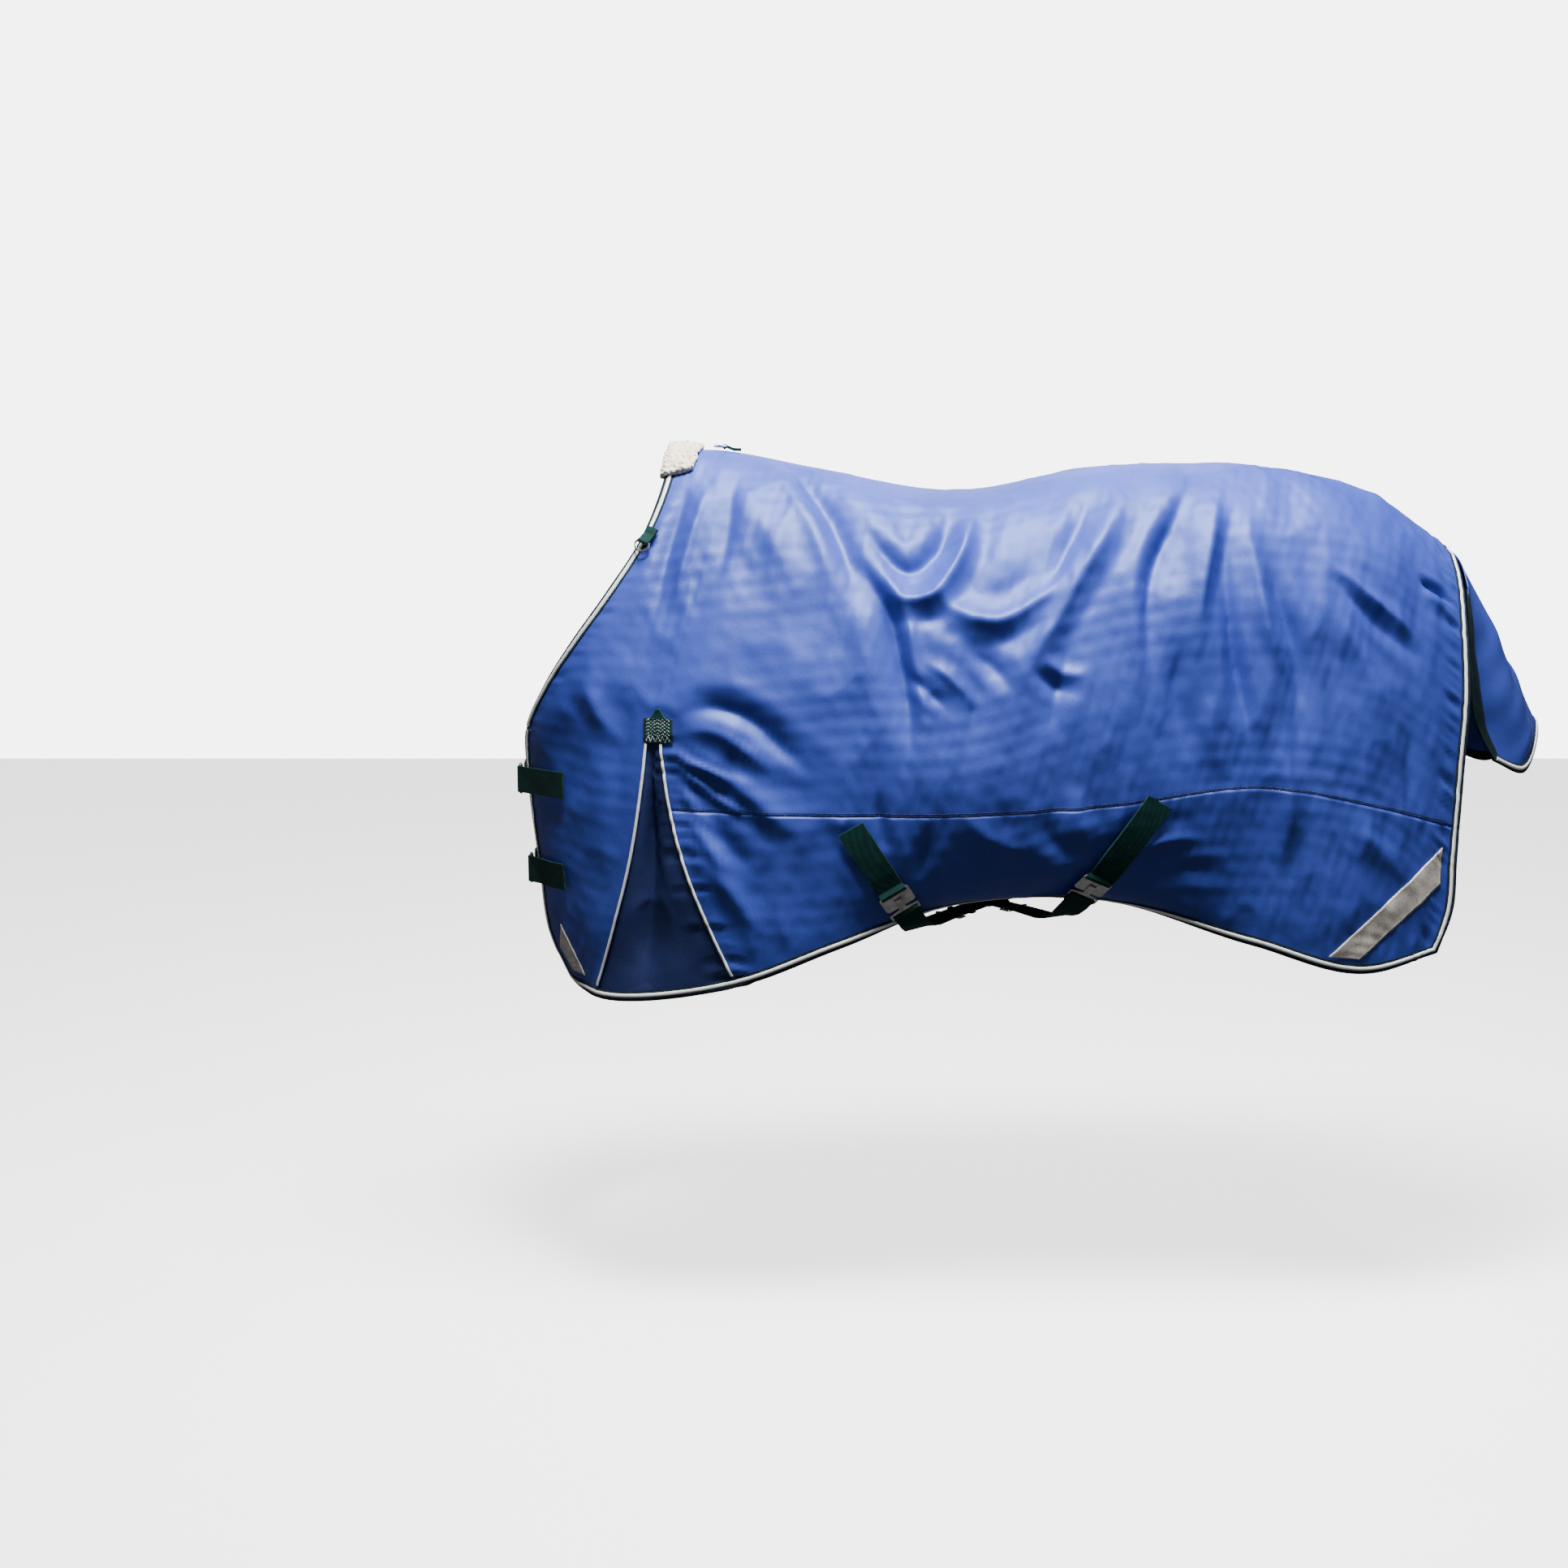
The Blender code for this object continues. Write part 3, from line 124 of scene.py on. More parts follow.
HIP = [
    (1.260, 0.0, -0.068), (1.260, 0.090, -0.085), (1.255, 0.170, -0.155), (1.250, 0.225, -0.280),
    (1.250, 0.250, -0.430), (1.250, 0.260, -0.600), (1.250, 0.262, -0.780), (1.250, 0.258, -0.958),
]
REAR = [
    (1.440, 0.0, -0.185), (1.436, 0.060, -0.200), (1.430, 0.120, -0.245), (1.425, 0.170, -0.330),
    (1.425, 0.200, -0.450), (1.415, 0.215, -0.600), (1.407, 0.225, -0.750), (1.402, 0.230, -0.850),
    (1.375, 0.237, -0.925),
]
GUSSET_TOP = -0.53
SEAM = [-0.66, -0.66, -0.66, -0.655, -0.655, -0.66, -0.657, -0.64, -0.61, -0.652, -0.697]

# Ribs of the tail flap from the dock seam down: along the dock, halfway out and along the side edge
FLAP_CENTRE = [
    (1.448, 0.0, -0.190), (1.485, 0.0, -0.250), (1.524, 0.0, -0.324), (1.585, 0.0, -0.426),
    (1.633, 0.0, -0.522),
]
FLAP_MID = [
    (1.446, 0.070, -0.211), (1.476, 0.078, -0.280), (1.508, 0.086, -0.360), (1.545, 0.093, -0.480),
    (1.575, 0.095, -0.607),
]
FLAP_SIDE = [
    (1.442, 0.122, -0.252), (1.444, 0.133, -0.330), (1.448, 0.140, -0.420), (1.465, 0.144, -0.515),
    (1.500, 0.142, -0.578),
]

# Columns count ribs from the front edge. Levels: 0 spine, 1 top of the gusset, 2 side seam, 3 hem.
GUSSET_COLUMNS = (3.0, 4.0)
SLIT_TOP = 1.0
SEAM_LEVEL = 2.0
HEM_LEVEL = 3.0
EDGE_DEPTH = 6.0 * MM  # shell and lining together, where tape and fleece fold round them
REAR_COLUMN = 10.0


# Curves, surfaces and folds


def unit(vectors: np.ndarray) -> np.ndarray:
    """Scale each vector of an array to length 1.

    Args:
        vectors: Array whose last axis holds the coordinates.

    Returns:
        An array of the same shape.
    """
    return vectors / np.maximum(np.linalg.norm(vectors, axis=-1, keepdims=True), 1e-12)


def smooth_step(values: np.ndarray, start: float, end: float) -> np.ndarray:
    """Rise smoothly from 0 at start to 1 at end.

    Args:
        values: Where to evaluate the step.
        start: Value at which the result leaves 0.
        end: Value at which the result reaches 1.

    Returns:
        An array of the values' shape.
    """
    t = np.clip((values - start) / (end - start), 0, 1)
    return t * t * (3 - 2 * t)


def through(points: np.ndarray, positions: np.ndarray) -> np.ndarray:
    """Read a smooth curve through points that may each be a whole row of points.

    Args:
        points: Array (count, ..., 3) of what the curve passes through.
        positions: Places on the curve, 0 at the first point and count - 1 at the last.

    Returns:
        Array (positions, ..., 3).
    """
    spacing = np.maximum(np.linalg.norm(np.diff(points, axis=0), axis=-1, keepdims=True), 1e-6)
    rates = np.diff(points, axis=0) / spacing
    inner = rates[:-1] * spacing[1:] + rates[1:] * spacing[:-1]
    inner = inner / (spacing[:-1] + spacing[1:])
    slopes = np.concatenate([rates[:1], inner, rates[-1:]])
    found = []
    for position in positions:
        k = min(int(position), len(points) - 2)
        f, h = position - k, spacing[k]
        start = (2 * f**3 - 3 * f**2 + 1) * points[k] + (f**3 - 2 * f**2 + f) * h * slopes[k]
        found.append(start + (3 * f**2 - 2 * f**3) * points[k + 1] + (f**3 - f**2) * h * slopes[k + 1])
    return np.array(found)


def travelled(line: np.ndarray) -> np.ndarray:
    """Distance along a line of points from its first point, for each point."""
    return np.concatenate([[0], np.cumsum(np.linalg.norm(np.diff(line, axis=0), axis=1))])


def normals_of(points: np.ndarray) -> np.ndarray:
    """Unit normals of a grid of points, across its first axis and then its second."""
    return unit(np.cross(np.gradient(points, axis=0), np.gradient(points, axis=1)))


@dataclass(frozen=True)
class Fold:
    """A crease, ridge or swag in the cloth.

    Attributes:
        line: Points (x, z) on the wearer's left that the fold passes through.
        height: How far it stands out of the cloth, or below 0 how deep it is.
        width: Distance from its middle line to where it has faded by two thirds.
        lean: How much wider it is on the side towards the tail, from -0.6 to 0.6.
        fade: Share of its length over which each end dies away.
    """

    line: tuple[Pair, ...]
    height: float
    width: float
    lean: float = 0.0
    fade: float = 0.45


@dataclass(frozen=True)
class Calm:
    """A round patch of cloth that fittings hold flat, by its middle (x, z) and radius."""

    middle: Pair
    radius: float


@dataclass
class Cloth:
    """One half of the rug as a fine grid of points, shared by all that lies on it.

    Attributes:
        side: Which half it is.
        columns: Column numbers of the grid's first axis.
        levels: Level numbers of its second axis.
        points: Array (columns, levels, 3) of the folded cloth's outer face.
        normals: Its outward unit normals.
        flat: Array (columns, levels, 2) of the distances along the body and down from the spine.
        beneath: The cloth's points, lowered to the depth of the nearest folds, for what lies inside it.
        plain_normals: The unit normals that the cloth had before it was folded.
    """

    side: Side
    columns: np.ndarray
    levels: np.ndarray
    points: np.ndarray = field(init=False)
    normals: np.ndarray = field(init=False)
    flat: np.ndarray = field(init=False)
    beneath: np.ndarray = field(init=False)
    plain_normals: np.ndarray = field(init=False)

    def __post_init__(self) -> None:
        """Loft the plain shape through the ribs."""
        ribs = [FRONT_LEFT, MID_LEFT] if self.side is Side.LEFT else [FRONT_RIGHT, MID_RIGHT]
        ribs += [CHEST, GUSSET_FRONT, GUSSET_BACK, GIRTH, BARREL, LOIN, CROUP, HIP, REAR]
        rows = [self._rib(rib, seam) for rib, seam in zip(ribs, SEAM)]
        self.points = through(np.array(rows), self.columns)
        self._measure()

    def _rib(self, rib: Sequence[Triple], seam: float) -> np.ndarray:
        """Read one rib at the grid's levels.

        Args:
            rib: Its points (x, half width, z) from the spine down.
            seam: The height at which it crosses the side seam.

        Returns:
            Array (levels, 3).
        """
        mirrored = (rib[1][0], -rib[1][1], rib[1][2])
        points = np.array([mirrored, *rib], float)
        line = through(points, np.linspace(1, len(rib), 60 * (len(rib) - 1) + 1)) * (1, self.side.value, 1)
        along = travelled(line)
        marks = [0.0, *(np.interp(-z, -line[:, 2], along) for z in (GUSSET_TOP, seam)), along[-1]]
        places = np.interp(self.levels, range(4), marks)
        return np.array([np.interp(places, along, line[:, k]) for k in range(3)]).T

    def _measure(self) -> None:
        """Work out normals and flat distances again after the points have changed."""
        self.normals = normals_of(self.points) * self.side.value
        top = self.levels < 1e-6
        self.normals[:, top, 1] = 0
        self.normals = unit(self.normals)
        down = np.cumsum(np.linalg.norm(np.diff(self.points, axis=1), axis=2), axis=1)
        down = np.concatenate([np.zeros((len(self.columns), 1)), down], axis=1)
        self.flat = np.stack([self.points[..., 0], down], axis=2)

    def column(self, number: float) -> int:
        """Index of the grid column nearest a column number."""
        return int(np.argmin(abs(self.columns - number)))

    def level(self, number: float) -> int:
        """Index of the grid level nearest a level number."""
        return int(np.argmin(abs(self.levels - number)))

    def at(self, column: np.ndarray, level: np.ndarray, lift: float = 0.0) -> tuple[np.ndarray, np.ndarray]:
        """Read places between the grid's points.

        Args:
            column: Column numbers.
            level: Level numbers, as many.
            lift: Distance above the cloth.

        Returns:
            Points and unit normals, each an array (count, 3).
        """
        a = np.clip(np.interp(column, self.columns, range(len(self.columns))), 0, len(self.columns) - 1.001)
        b = np.clip(np.interp(level, self.levels, range(len(self.levels))), 0, len(self.levels) - 1.001)
        i, j = a.astype(int), b.astype(int)
        u, v = (a - i)[:, None], (b - j)[:, None]
        found = []
        for values in (self.points, self.normals):
            near = (1 - u) * values[i, j] + u * values[i + 1, j]
            far = (1 - u) * values[i, j + 1] + u * values[i + 1, j + 1]
            found.append((1 - v) * near + v * far)
        normal = unit(found[1])
        return found[0] + lift * normal, normal

    def find(self, x: float, z: float) -> Pair:
        """Column and level of the place nearest a given x and z."""
        first = 0 if self.side is Side.LEFT else self.column(1.2)
        gaps = np.hypot(self.points[first:, :, 0] - x, self.points[first:, :, 2] - z)
        gaps[:, : self.level(0.08)] += 1
        i, j = np.unravel_index(np.argmin(gaps), gaps.shape)
        column, level = self.columns[first + i], self.levels[j]
        step = 0.04
        for _ in range(6):
            nearby = np.array([(column, level), (column + step, level), (column, level + step)])
            trial = self.at(*nearby.T)[0]
            slope = (trial[1:, [0, 2]] - trial[0, [0, 2]]).T / step
            move = np.linalg.lstsq(slope, np.array([x, z]) - trial[0, [0, 2]], rcond=None)[0]
            column = float(np.clip(column + np.clip(move[0], -0.1, 0.1), 0, REAR_COLUMN - step))
            level = float(np.clip(level + np.clip(move[1], -0.1, 0.1), 0, HEM_LEVEL - step))
        return column, level

    def spread(self, line: Sequence[Pair]) -> np.ndarray:
        """Flat places of the points (x, z) of a line."""
        found = [self.find(x, z) for x, z in line]
        grid = [(np.interp(c, self.columns, range(len(self.columns))), self.level(v)) for c, v in found]
        return np.array([self.flat[int(c), v] for c, v in grid])

    def fold_height(self, fold: Fold) -> np.ndarray:
        """Height that one fold adds at every point of the grid."""
        line = self.spread(fold.line)
        line = through(line, np.linspace(0, len(line) - 1, 9 * (len(line) - 1) + 1))
        along = travelled(line)
        best = np.full(self.flat.shape[:2], 9.0)
        where = np.zeros_like(best)
        signed = np.zeros_like(best)
        for start, end, before in zip(line, line[1:], along):
            edge = end - start
            length = max(float(np.linalg.norm(edge)), 1e-6)
            ahead = edge / length
            t = np.clip((self.flat - start) @ ahead, 0, length)
            off = self.flat - start - t[..., None] * ahead
            gap = np.linalg.norm(off, axis=2)
            near = gap < best
            best[near] = gap[near]
            where[near] = ((before + t) / along[-1])[near]
            turn = ahead[0] * off[..., 1] - ahead[1] * off[..., 0]
            signed[near] = -np.sign(turn)[near]
        reach = best / (fold.width * (1 + fold.lean * signed))
        crest = (1 + reach**2) ** -1.6 - 0.30 * np.exp(-(((reach - 2.1) / 0.95) ** 2))
        ends = smooth_step(where, 0, fold.fade) * (1 - smooth_step(where, 1 - fold.fade, 1))
        return fold.height * crest * ends

    def calmness(self, spots: Iterable[Calm]) -> np.ndarray:
        """Share of the folds' height that stays, 0 at the middle of each calm patch."""
        share = np.ones(self.flat.shape[:2])
        for spot in spots:
            middle = self.spread([spot.middle])[0]
            gap = np.linalg.norm(self.flat - middle, axis=2)
            share *= smooth_step(gap, 0.45 * spot.radius, spot.radius)
        return share

    def push(self, height: np.ndarray) -> None:
        """Move every point along its normal by its own height, then measure again.

        The surface beneath stays below every height within a few grid steps, so that a lining follows it.
        """
        lowest = height
        for axis in (0, 1):
            ahead, behind = np.roll(lowest, 2, axis), np.roll(lowest, -2, axis)
            lowest = np.minimum(lowest, np.minimum(ahead, behind))
        self.plain_normals = self.normals
        self.beneath = self.points + lowest[..., None] * self.normals
        self.points = self.points + height[..., None] * self.normals
        self._measure()


def waves(
    flat: np.ndarray, seed: int, length: Pair, count: int = 22, stretch: Pair = (1.0, 1.0)
) -> np.ndarray:
    """Smooth random unevenness.

    Args:
        flat: Array (..., 2) of flat places.
        seed: Number that fixes the result.
        length: Shortest and longest wave.
        count: How many waves are added up.
        stretch: Scale of the two flat directions, above 1 for shorter waves along it.

    Returns:
        An array of about -1 to 1.
    """
    chance = np.random.default_rng(seed)
    total = np.zeros(flat.shape[:-1])
    for _ in range(count):
        angle, phase = chance.uniform(0, 2 * math.pi, 2)
        rate = 2 * math.pi / chance.uniform(*length)
        across = flat[..., 0] * stretch[0] * math.cos(angle)
        down = flat[..., 1] * stretch[1] * math.sin(angle)
        total += np.sin(rate * (across + down) + phase)
    return total / math.sqrt(count)


# Making and finishing meshes


def deselect() -> None:
    """Leave object mode with nothing selected, so that an operator acts only on what it makes."""
    if bpy.context.object and bpy.context.object.mode != "OBJECT":
        bpy.ops.object.mode_set(mode="OBJECT")
    bpy.ops.object.select_all(action="DESELECT")


def pick(piece: Piece) -> Piece:
    """Make a piece the only selected object, and the active one."""
    deselect()
    piece.select_set(True)
    bpy.context.view_layer.objects.active = piece
    return piece


def finish_modifiers(piece: Piece) -> None:
    """Apply each of a piece's modifiers, in order."""
    pick(piece)
    for modifier in list(piece.modifiers):
        bpy.ops.object.modifier_apply(modifier=modifier.name)


def grid_piece(
    name: str, points: np.ndarray, size: Optional[Pair] = None, smooth: float = 60.0
) -> Piece:
    """Shape a grid primitive to an array of points.

    Args:
        name: Name of the new piece.
        points: Array (across, down, 3). Faces look along across × down.
        size: Width and length that the UV map spans, in metres. Measured on the points where left out.
        smooth: Angle in degrees up to which edges are shaded smooth.

    Returns:
        The piece, one layer thick.
    """
    deselect()
    across, down = points.shape[:2]
    bpy.ops.mesh.primitive_grid_add(x_subdivisions=across - 1, y_subdivisions=down - 1, size=1)
    piece = bpy.context.object
    piece.name = piece.data.name = name
    mesh = piece.data
    mesh.vertices.foreach_set("co", np.swapaxes(points, 0, 1).reshape(-1).astype(np.float32))
    if size is None:
        middle = points[across // 2], points[:, down // 2]
        size = (travelled(middle[1])[-1], travelled(middle[0])[-1])
    corners = np.empty(len(mesh.loops) * 2, np.float32)
    mesh.uv_layers[0].data.foreach_get("uv", corners)
    mesh.uv_layers[0].data.foreach_set("uv", (corners.reshape(-1, 2) * size).reshape(-1).astype(np.float32))
    mesh.update()
    bpy.ops.object.shade_smooth_by_angle(angle=math.radians(smooth))
    return piece


def thicken(piece: Piece, thickness: float) -> Piece:
    """Give a sheet its thickness, inwards from its outer face.

    Args:
        piece: A piece one layer thick.
        thickness: Its thickness in metres.

    Returns:
        The same piece.
    """
    solid = piece.modifiers.new("thickness", "SOLIDIFY")
    solid.thickness = thickness
    solid.offset = -1
    solid.use_even_offset = False
    finish_modifiers(piece)
    return piece


def tube_piece(name: str, rings: np.ndarray, smooth: float = 50.0) -> Piece:
    """Shape a grid primitive to closed rings along a path, join its seam and close its ends.

    Args:
        name: Name of the new piece.
        rings: Array (rings, corners, 3).
        smooth: Angle in degrees up to which edges are shaded smooth.

    Returns:
        The closed piece.
    """
    around = travelled(np.vstack([rings[0], rings[0][:1]]))[-1]
    closed = np.concatenate([rings, rings[:, :1]], axis=1)
    length = travelled(rings.mean(axis=1))[-1]
    piece = grid_piece(name, closed, (length, around), smooth)
    bpy.ops.object.mode_set(mode="EDIT")
    bpy.ops.mesh.select_all(action="SELECT")
    bpy.ops.mesh.remove_doubles(threshold=0.00001)
    bpy.ops.mesh.select_all(action="SELECT")
    bpy.ops.mesh.fill_holes(sides=0)
    bpy.ops.mesh.select_all(action="SELECT")
    bpy.ops.mesh.normals_make_consistent(inside=False)
    bpy.ops.object.mode_set(mode="OBJECT")
    bpy.ops.object.shade_smooth_by_angle(angle=math.radians(smooth))
    return piece


def round_rings(
    line: np.ndarray, ups: np.ndarray, width: float, height: float, corners: int = 10
) -> np.ndarray:
    """Oval rings along a line, for a piping or a thread.

    Args:
        line: Array (count, 3) of the middle of each ring.
        ups: Array (count, 3) of the way each ring's height points.
        width: Width across the line.
        height: Height along ups.
        corners: How many points each ring has.

    Returns:
        Array (count, corners, 3).
    """
    ahead = unit(np.gradient(line, axis=0))
    across = unit(np.cross(ahead, ups))
    up = unit(np.cross(across, ahead))
    turns = np.linspace(0, 2 * math.pi, corners, endpoint=False)
    wide = np.cos(turns)[None, :, None] * across[:, None] * width / 2
    return line[:, None] + wide + np.sin(turns)[None, :, None] * up[:, None] * height / 2


def band(
    cloth: Cloth, start: Sequence[Pair], end: Sequence[Pair], lift: float, steps: int, across: int = 9
) -> np.ndarray:
    """Points of a flat strip laid on the cloth between two short edges.

    Args:
        cloth: The half it lies on.
        start: Two points (x, z), the ends of its first edge.
        end: Two points (x, z), the ends of its last edge.
        lift: Height of its upper face above the cloth.
        steps: How many points it has along.
        across: How many points it has across.

    Returns:
        Array (across, steps, 3).
    """
    places = []
    for j in np.linspace(0, 1, across):
        a, b = (np.array(edge[0]) + j * np.subtract(edge[1], edge[0]) for edge in (start, end))
        places += [cloth.find(*(a + t * (b - a))) for t in np.linspace(0, 1, steps)]
    columns, levels = np.array(places).T
    return cloth.at(columns, levels, lift)[0].reshape(across, steps, 3)


def facing(points: np.ndarray, outward: np.ndarray) -> np.ndarray:
    """Turn a grid of points round where its faces would look inwards.

    Args:
        points: Array (across, down, 3).
        outward: A vector that the faces should look along.

    Returns:
        The grid, with its first axis reversed where needed.
    """
    return points if float((normals_of(points).mean(axis=(0, 1)) * outward).sum()) > 0 else points[::-1]


@dataclass
class Stitching:
    """A row of sewn stitches, each one a short thread with rounded ends.

    Attributes:
        length: Length of a stitch.
        pitch: Distance from one stitch to the next.
        thread: Thickness of the thread.
    """

    length: float = 4.2 * MM
    pitch: float = 5.4 * MM
    thread: float = 1.1 * MM

    def sew(self, name: str, rows: Sequence[tuple[np.ndarray, np.ndarray]]) -> Piece:
        """Sew stitches along rows.

        Args:
            name: Name of the new piece.
            rows: For each row its points and its unit normals, both arrays (count, 3).

        Returns:
            One piece that holds every stitch.
        """
        deselect()
        bpy.ops.mesh.primitive_uv_sphere_add(segments=6, ring_count=4, radius=0.5)
        master = bpy.context.object
        master.scale = (self.length, self.thread, self.thread)
        bpy.ops.object.transform_apply(scale=True)
        shape = np.array([v.co for v in master.data.vertices])
        faces = [tuple(face.vertices) for face in master.data.polygons]
        bpy.data.objects.remove(master)
        places = [self._places(line, ups) for line, ups in rows]
        middles, aheads, ups = (np.concatenate(found) for found in zip(*places))
        sides = np.cross(ups, aheads)
        points = middles[:, None] + shape[None, :, :1] * aheads[:, None]
        points = points + shape[None, :, 1:2] * sides[:, None] + shape[None, :, 2:] * ups[:, None]
        mesh = bpy.data.meshes.new(name)
        count = len(shape)
        copies = [tuple(k * count + i for i in face) for k in range(len(middles)) for face in faces]
        mesh.from_pydata(points.reshape(-1, 3).tolist(), [], copies)
        piece = bpy.data.objects.new(name, mesh)
        bpy.context.scene.collection.objects.link(piece)
        mesh.shade_smooth()
        return piece

    def _places(self, line: np.ndarray, ups: np.ndarray) -> tuple[np.ndarray, np.ndarray, np.ndarray]:
        """Middle, direction and upward vector of each stitch of one row."""
        along = travelled(line)
        count = max(int(along[-1] / self.pitch), 1)
        marks = (np.arange(count) + 0.5) * along[-1] / count
        sources = ((marks, line), (marks - 1 * MM, line), (marks + 1 * MM, line), (marks, ups))
        middle, before, after, up = (
            np.array([np.interp(places, along, values[:, k]) for k in range(3)]).T
            for places, values in sources
        )
        ahead = unit(after - before)
        up = unit(up - (up * ahead).sum(axis=1, keepdims=True) * ahead)
        return middle, ahead, up


# Finishes


class Graph:
    """A material's nodes, built from the shader backwards.

    Args:
        name: The material's name.
        colour: Its base colour.
        roughness: Its base roughness.
        metallic: 1 for metal.
        sockets: Other values set directly on the shader, by socket name.
    """

    def __init__(
        self, name: str, colour: Triple, roughness: float, metallic: float = 0.0,
        **sockets: float | tuple[float, ...],
    ) -> None:
        """Start the material with a plain shader."""
        self.material = bpy.data.materials.new(name)
        self.material.use_nodes = True
        self.tree = self.material.node_tree
        self.shader = self.tree.nodes["Principled BSDF"]
        self.shader.inputs["Base Color"].default_value = (*colour, 1)
        self.shader.inputs["Roughness"].default_value = roughness
        self.shader.inputs["Metallic"].default_value = metallic
        for socket, value in sockets.items():
            self.shader.inputs[socket.replace("_", " ")].default_value = value
        self.material.diffuse_color = (*colour, 1)
        self.coordinates = self.tree.nodes.new("ShaderNodeTexCoord")
        self.relief: Optional[Socket] = None

    def place(self, output: str, scale: Triple = (1, 1, 1), turn: Triple = (0, 0, 0)) -> Socket:
        """Coordinates of a pattern.

        Args:
            output: "Object" or "UV".
            scale: How many pattern units fit a metre along each axis.
            turn: Rotation in radians about each axis.

        Returns:
            A vector socket.
        """
        mapping = self.tree.nodes.new("ShaderNodeMapping")
        mapping.vector_type = "TEXTURE" if any(turn) else "POINT"
        if any(turn):
            mapping.inputs["Scale"].default_value = tuple(1 / s for s in scale)
        else:
            mapping.inputs["Scale"].default_value = scale
        mapping.inputs["Rotation"].default_value = turn
        self.tree.links.new(self.coordinates.outputs[output], mapping.inputs["Vector"])
        return mapping.outputs["Vector"]

    def noise(self, place: Socket, scale: float, detail: float = 3.0) -> Socket:
        """Cloudy noise from 0 to 1 at a place."""
        node = self.tree.nodes.new("ShaderNodeTexNoise")
        node.inputs["Scale"].default_value = scale
        node.inputs["Detail"].default_value = detail
        self.tree.links.new(place, node.inputs["Vector"])
        return node.outputs["Fac"]

    def cells(self, place: Socket, scale: float, feature: str = "F1") -> Socket:
        """Distance to the nearest cell point, or to the nearest cell wall."""
        node = self.tree.nodes.new("ShaderNodeTexVoronoi")
        node.feature = feature
        node.inputs["Scale"].default_value = scale
        self.tree.links.new(place, node.inputs["Vector"])
        return node.outputs["Distance"]

    def stripes(self, place: Socket, scale: float, axis: str, twist: float = 0.0) -> Socket:
        """Soft stripes from 0 to 1 across one axis, X, Y or DIAGONAL.

        Args:
            place: The pattern's coordinates.
            scale: Blender's wave scale: a period is about 0.314 divided by it.
            axis: The axis that the stripes repeat along.
            twist: How far noise bends them.

        Returns:
            A value socket.
        """
        node = self.tree.nodes.new("ShaderNodeTexWave")
        node.bands_direction = axis
        node.inputs["Scale"].default_value = scale
        node.inputs["Distortion"].default_value = twist
        node.inputs["Detail"].default_value = 1.0
        self.tree.links.new(place, node.inputs["Vector"])
        return node.outputs["Fac"]

    def combine(self, how: str, first: Socket, second: Socket | float) -> Socket:
        """Math of two values: ADD, MULTIPLY or MAXIMUM."""
        node = self.tree.nodes.new("ShaderNodeMath")
        node.operation = how
        self.tree.links.new(first, node.inputs[0])
        if isinstance(second, float):
            node.inputs[1].default_value = second
        else:
            self.tree.links.new(second, node.inputs[1])
        return node.outputs[0]

    def mix(self, first: Socket, first_share: float, second: Socket, second_share: float) -> Socket:
        """Sum of two values, each times its share."""
        first = self.combine("MULTIPLY", first, first_share)
        return self.combine("ADD", first, self.combine("MULTIPLY", second, second_share))

    def between(
        self, value: Socket, low: float, high: float, start: float = 0.0, end: float = 1.0
    ) -> Socket:
        """Spread values from low to high over start to end, clamped."""
        node = self.tree.nodes.new("ShaderNodeMapRange")
        for socket, number in (("From Min", low), ("From Max", high), ("To Min", start), ("To Max", end)):
            node.inputs[socket].default_value = number
        self.tree.links.new(value, node.inputs["Value"])
        return node.outputs["Result"]

    def tint(self, value: Socket, colours: Sequence[tuple[float, Triple]]) -> None:
        """Colour the shader by a value, through a ramp of (position, colour) stops."""
        ramp = self.tree.nodes.new("ShaderNodeValToRGB")
        stops = ramp.color_ramp.elements
        while len(stops) < len(colours):
            stops.new(0.5)
        for stop, (position, colour) in zip(stops, colours):
            stop.position = position
            stop.color = (*colour, 1)
        self.tree.links.new(value, ramp.inputs["Fac"])
        self.tree.links.new(ramp.outputs["Color"], self.shader.inputs["Base Color"])

    def rough(self, value: Socket, low: float, high: float) -> None:
        """Drive the roughness from low to high by a value of 0 to 1."""
        self.tree.links.new(self.between(value, 0, 1, low, high), self.shader.inputs["Roughness"])

    def bump(self, value: Socket, depth: float, strength: float = 0.5) -> None:
        """Add relief of a value of 0 to 1 and a depth in metres, on top of any before."""
        node = self.tree.nodes.new("ShaderNodeBump")
        node.inputs["Distance"].default_value = depth
        node.inputs["Strength"].default_value = strength
        self.tree.links.new(value, node.inputs["Height"])
        if self.relief is not None:
            self.tree.links.new(self.relief, node.inputs["Normal"])
        self.relief = node.outputs["Normal"]
        self.tree.links.new(self.relief, self.shader.inputs["Normal"])


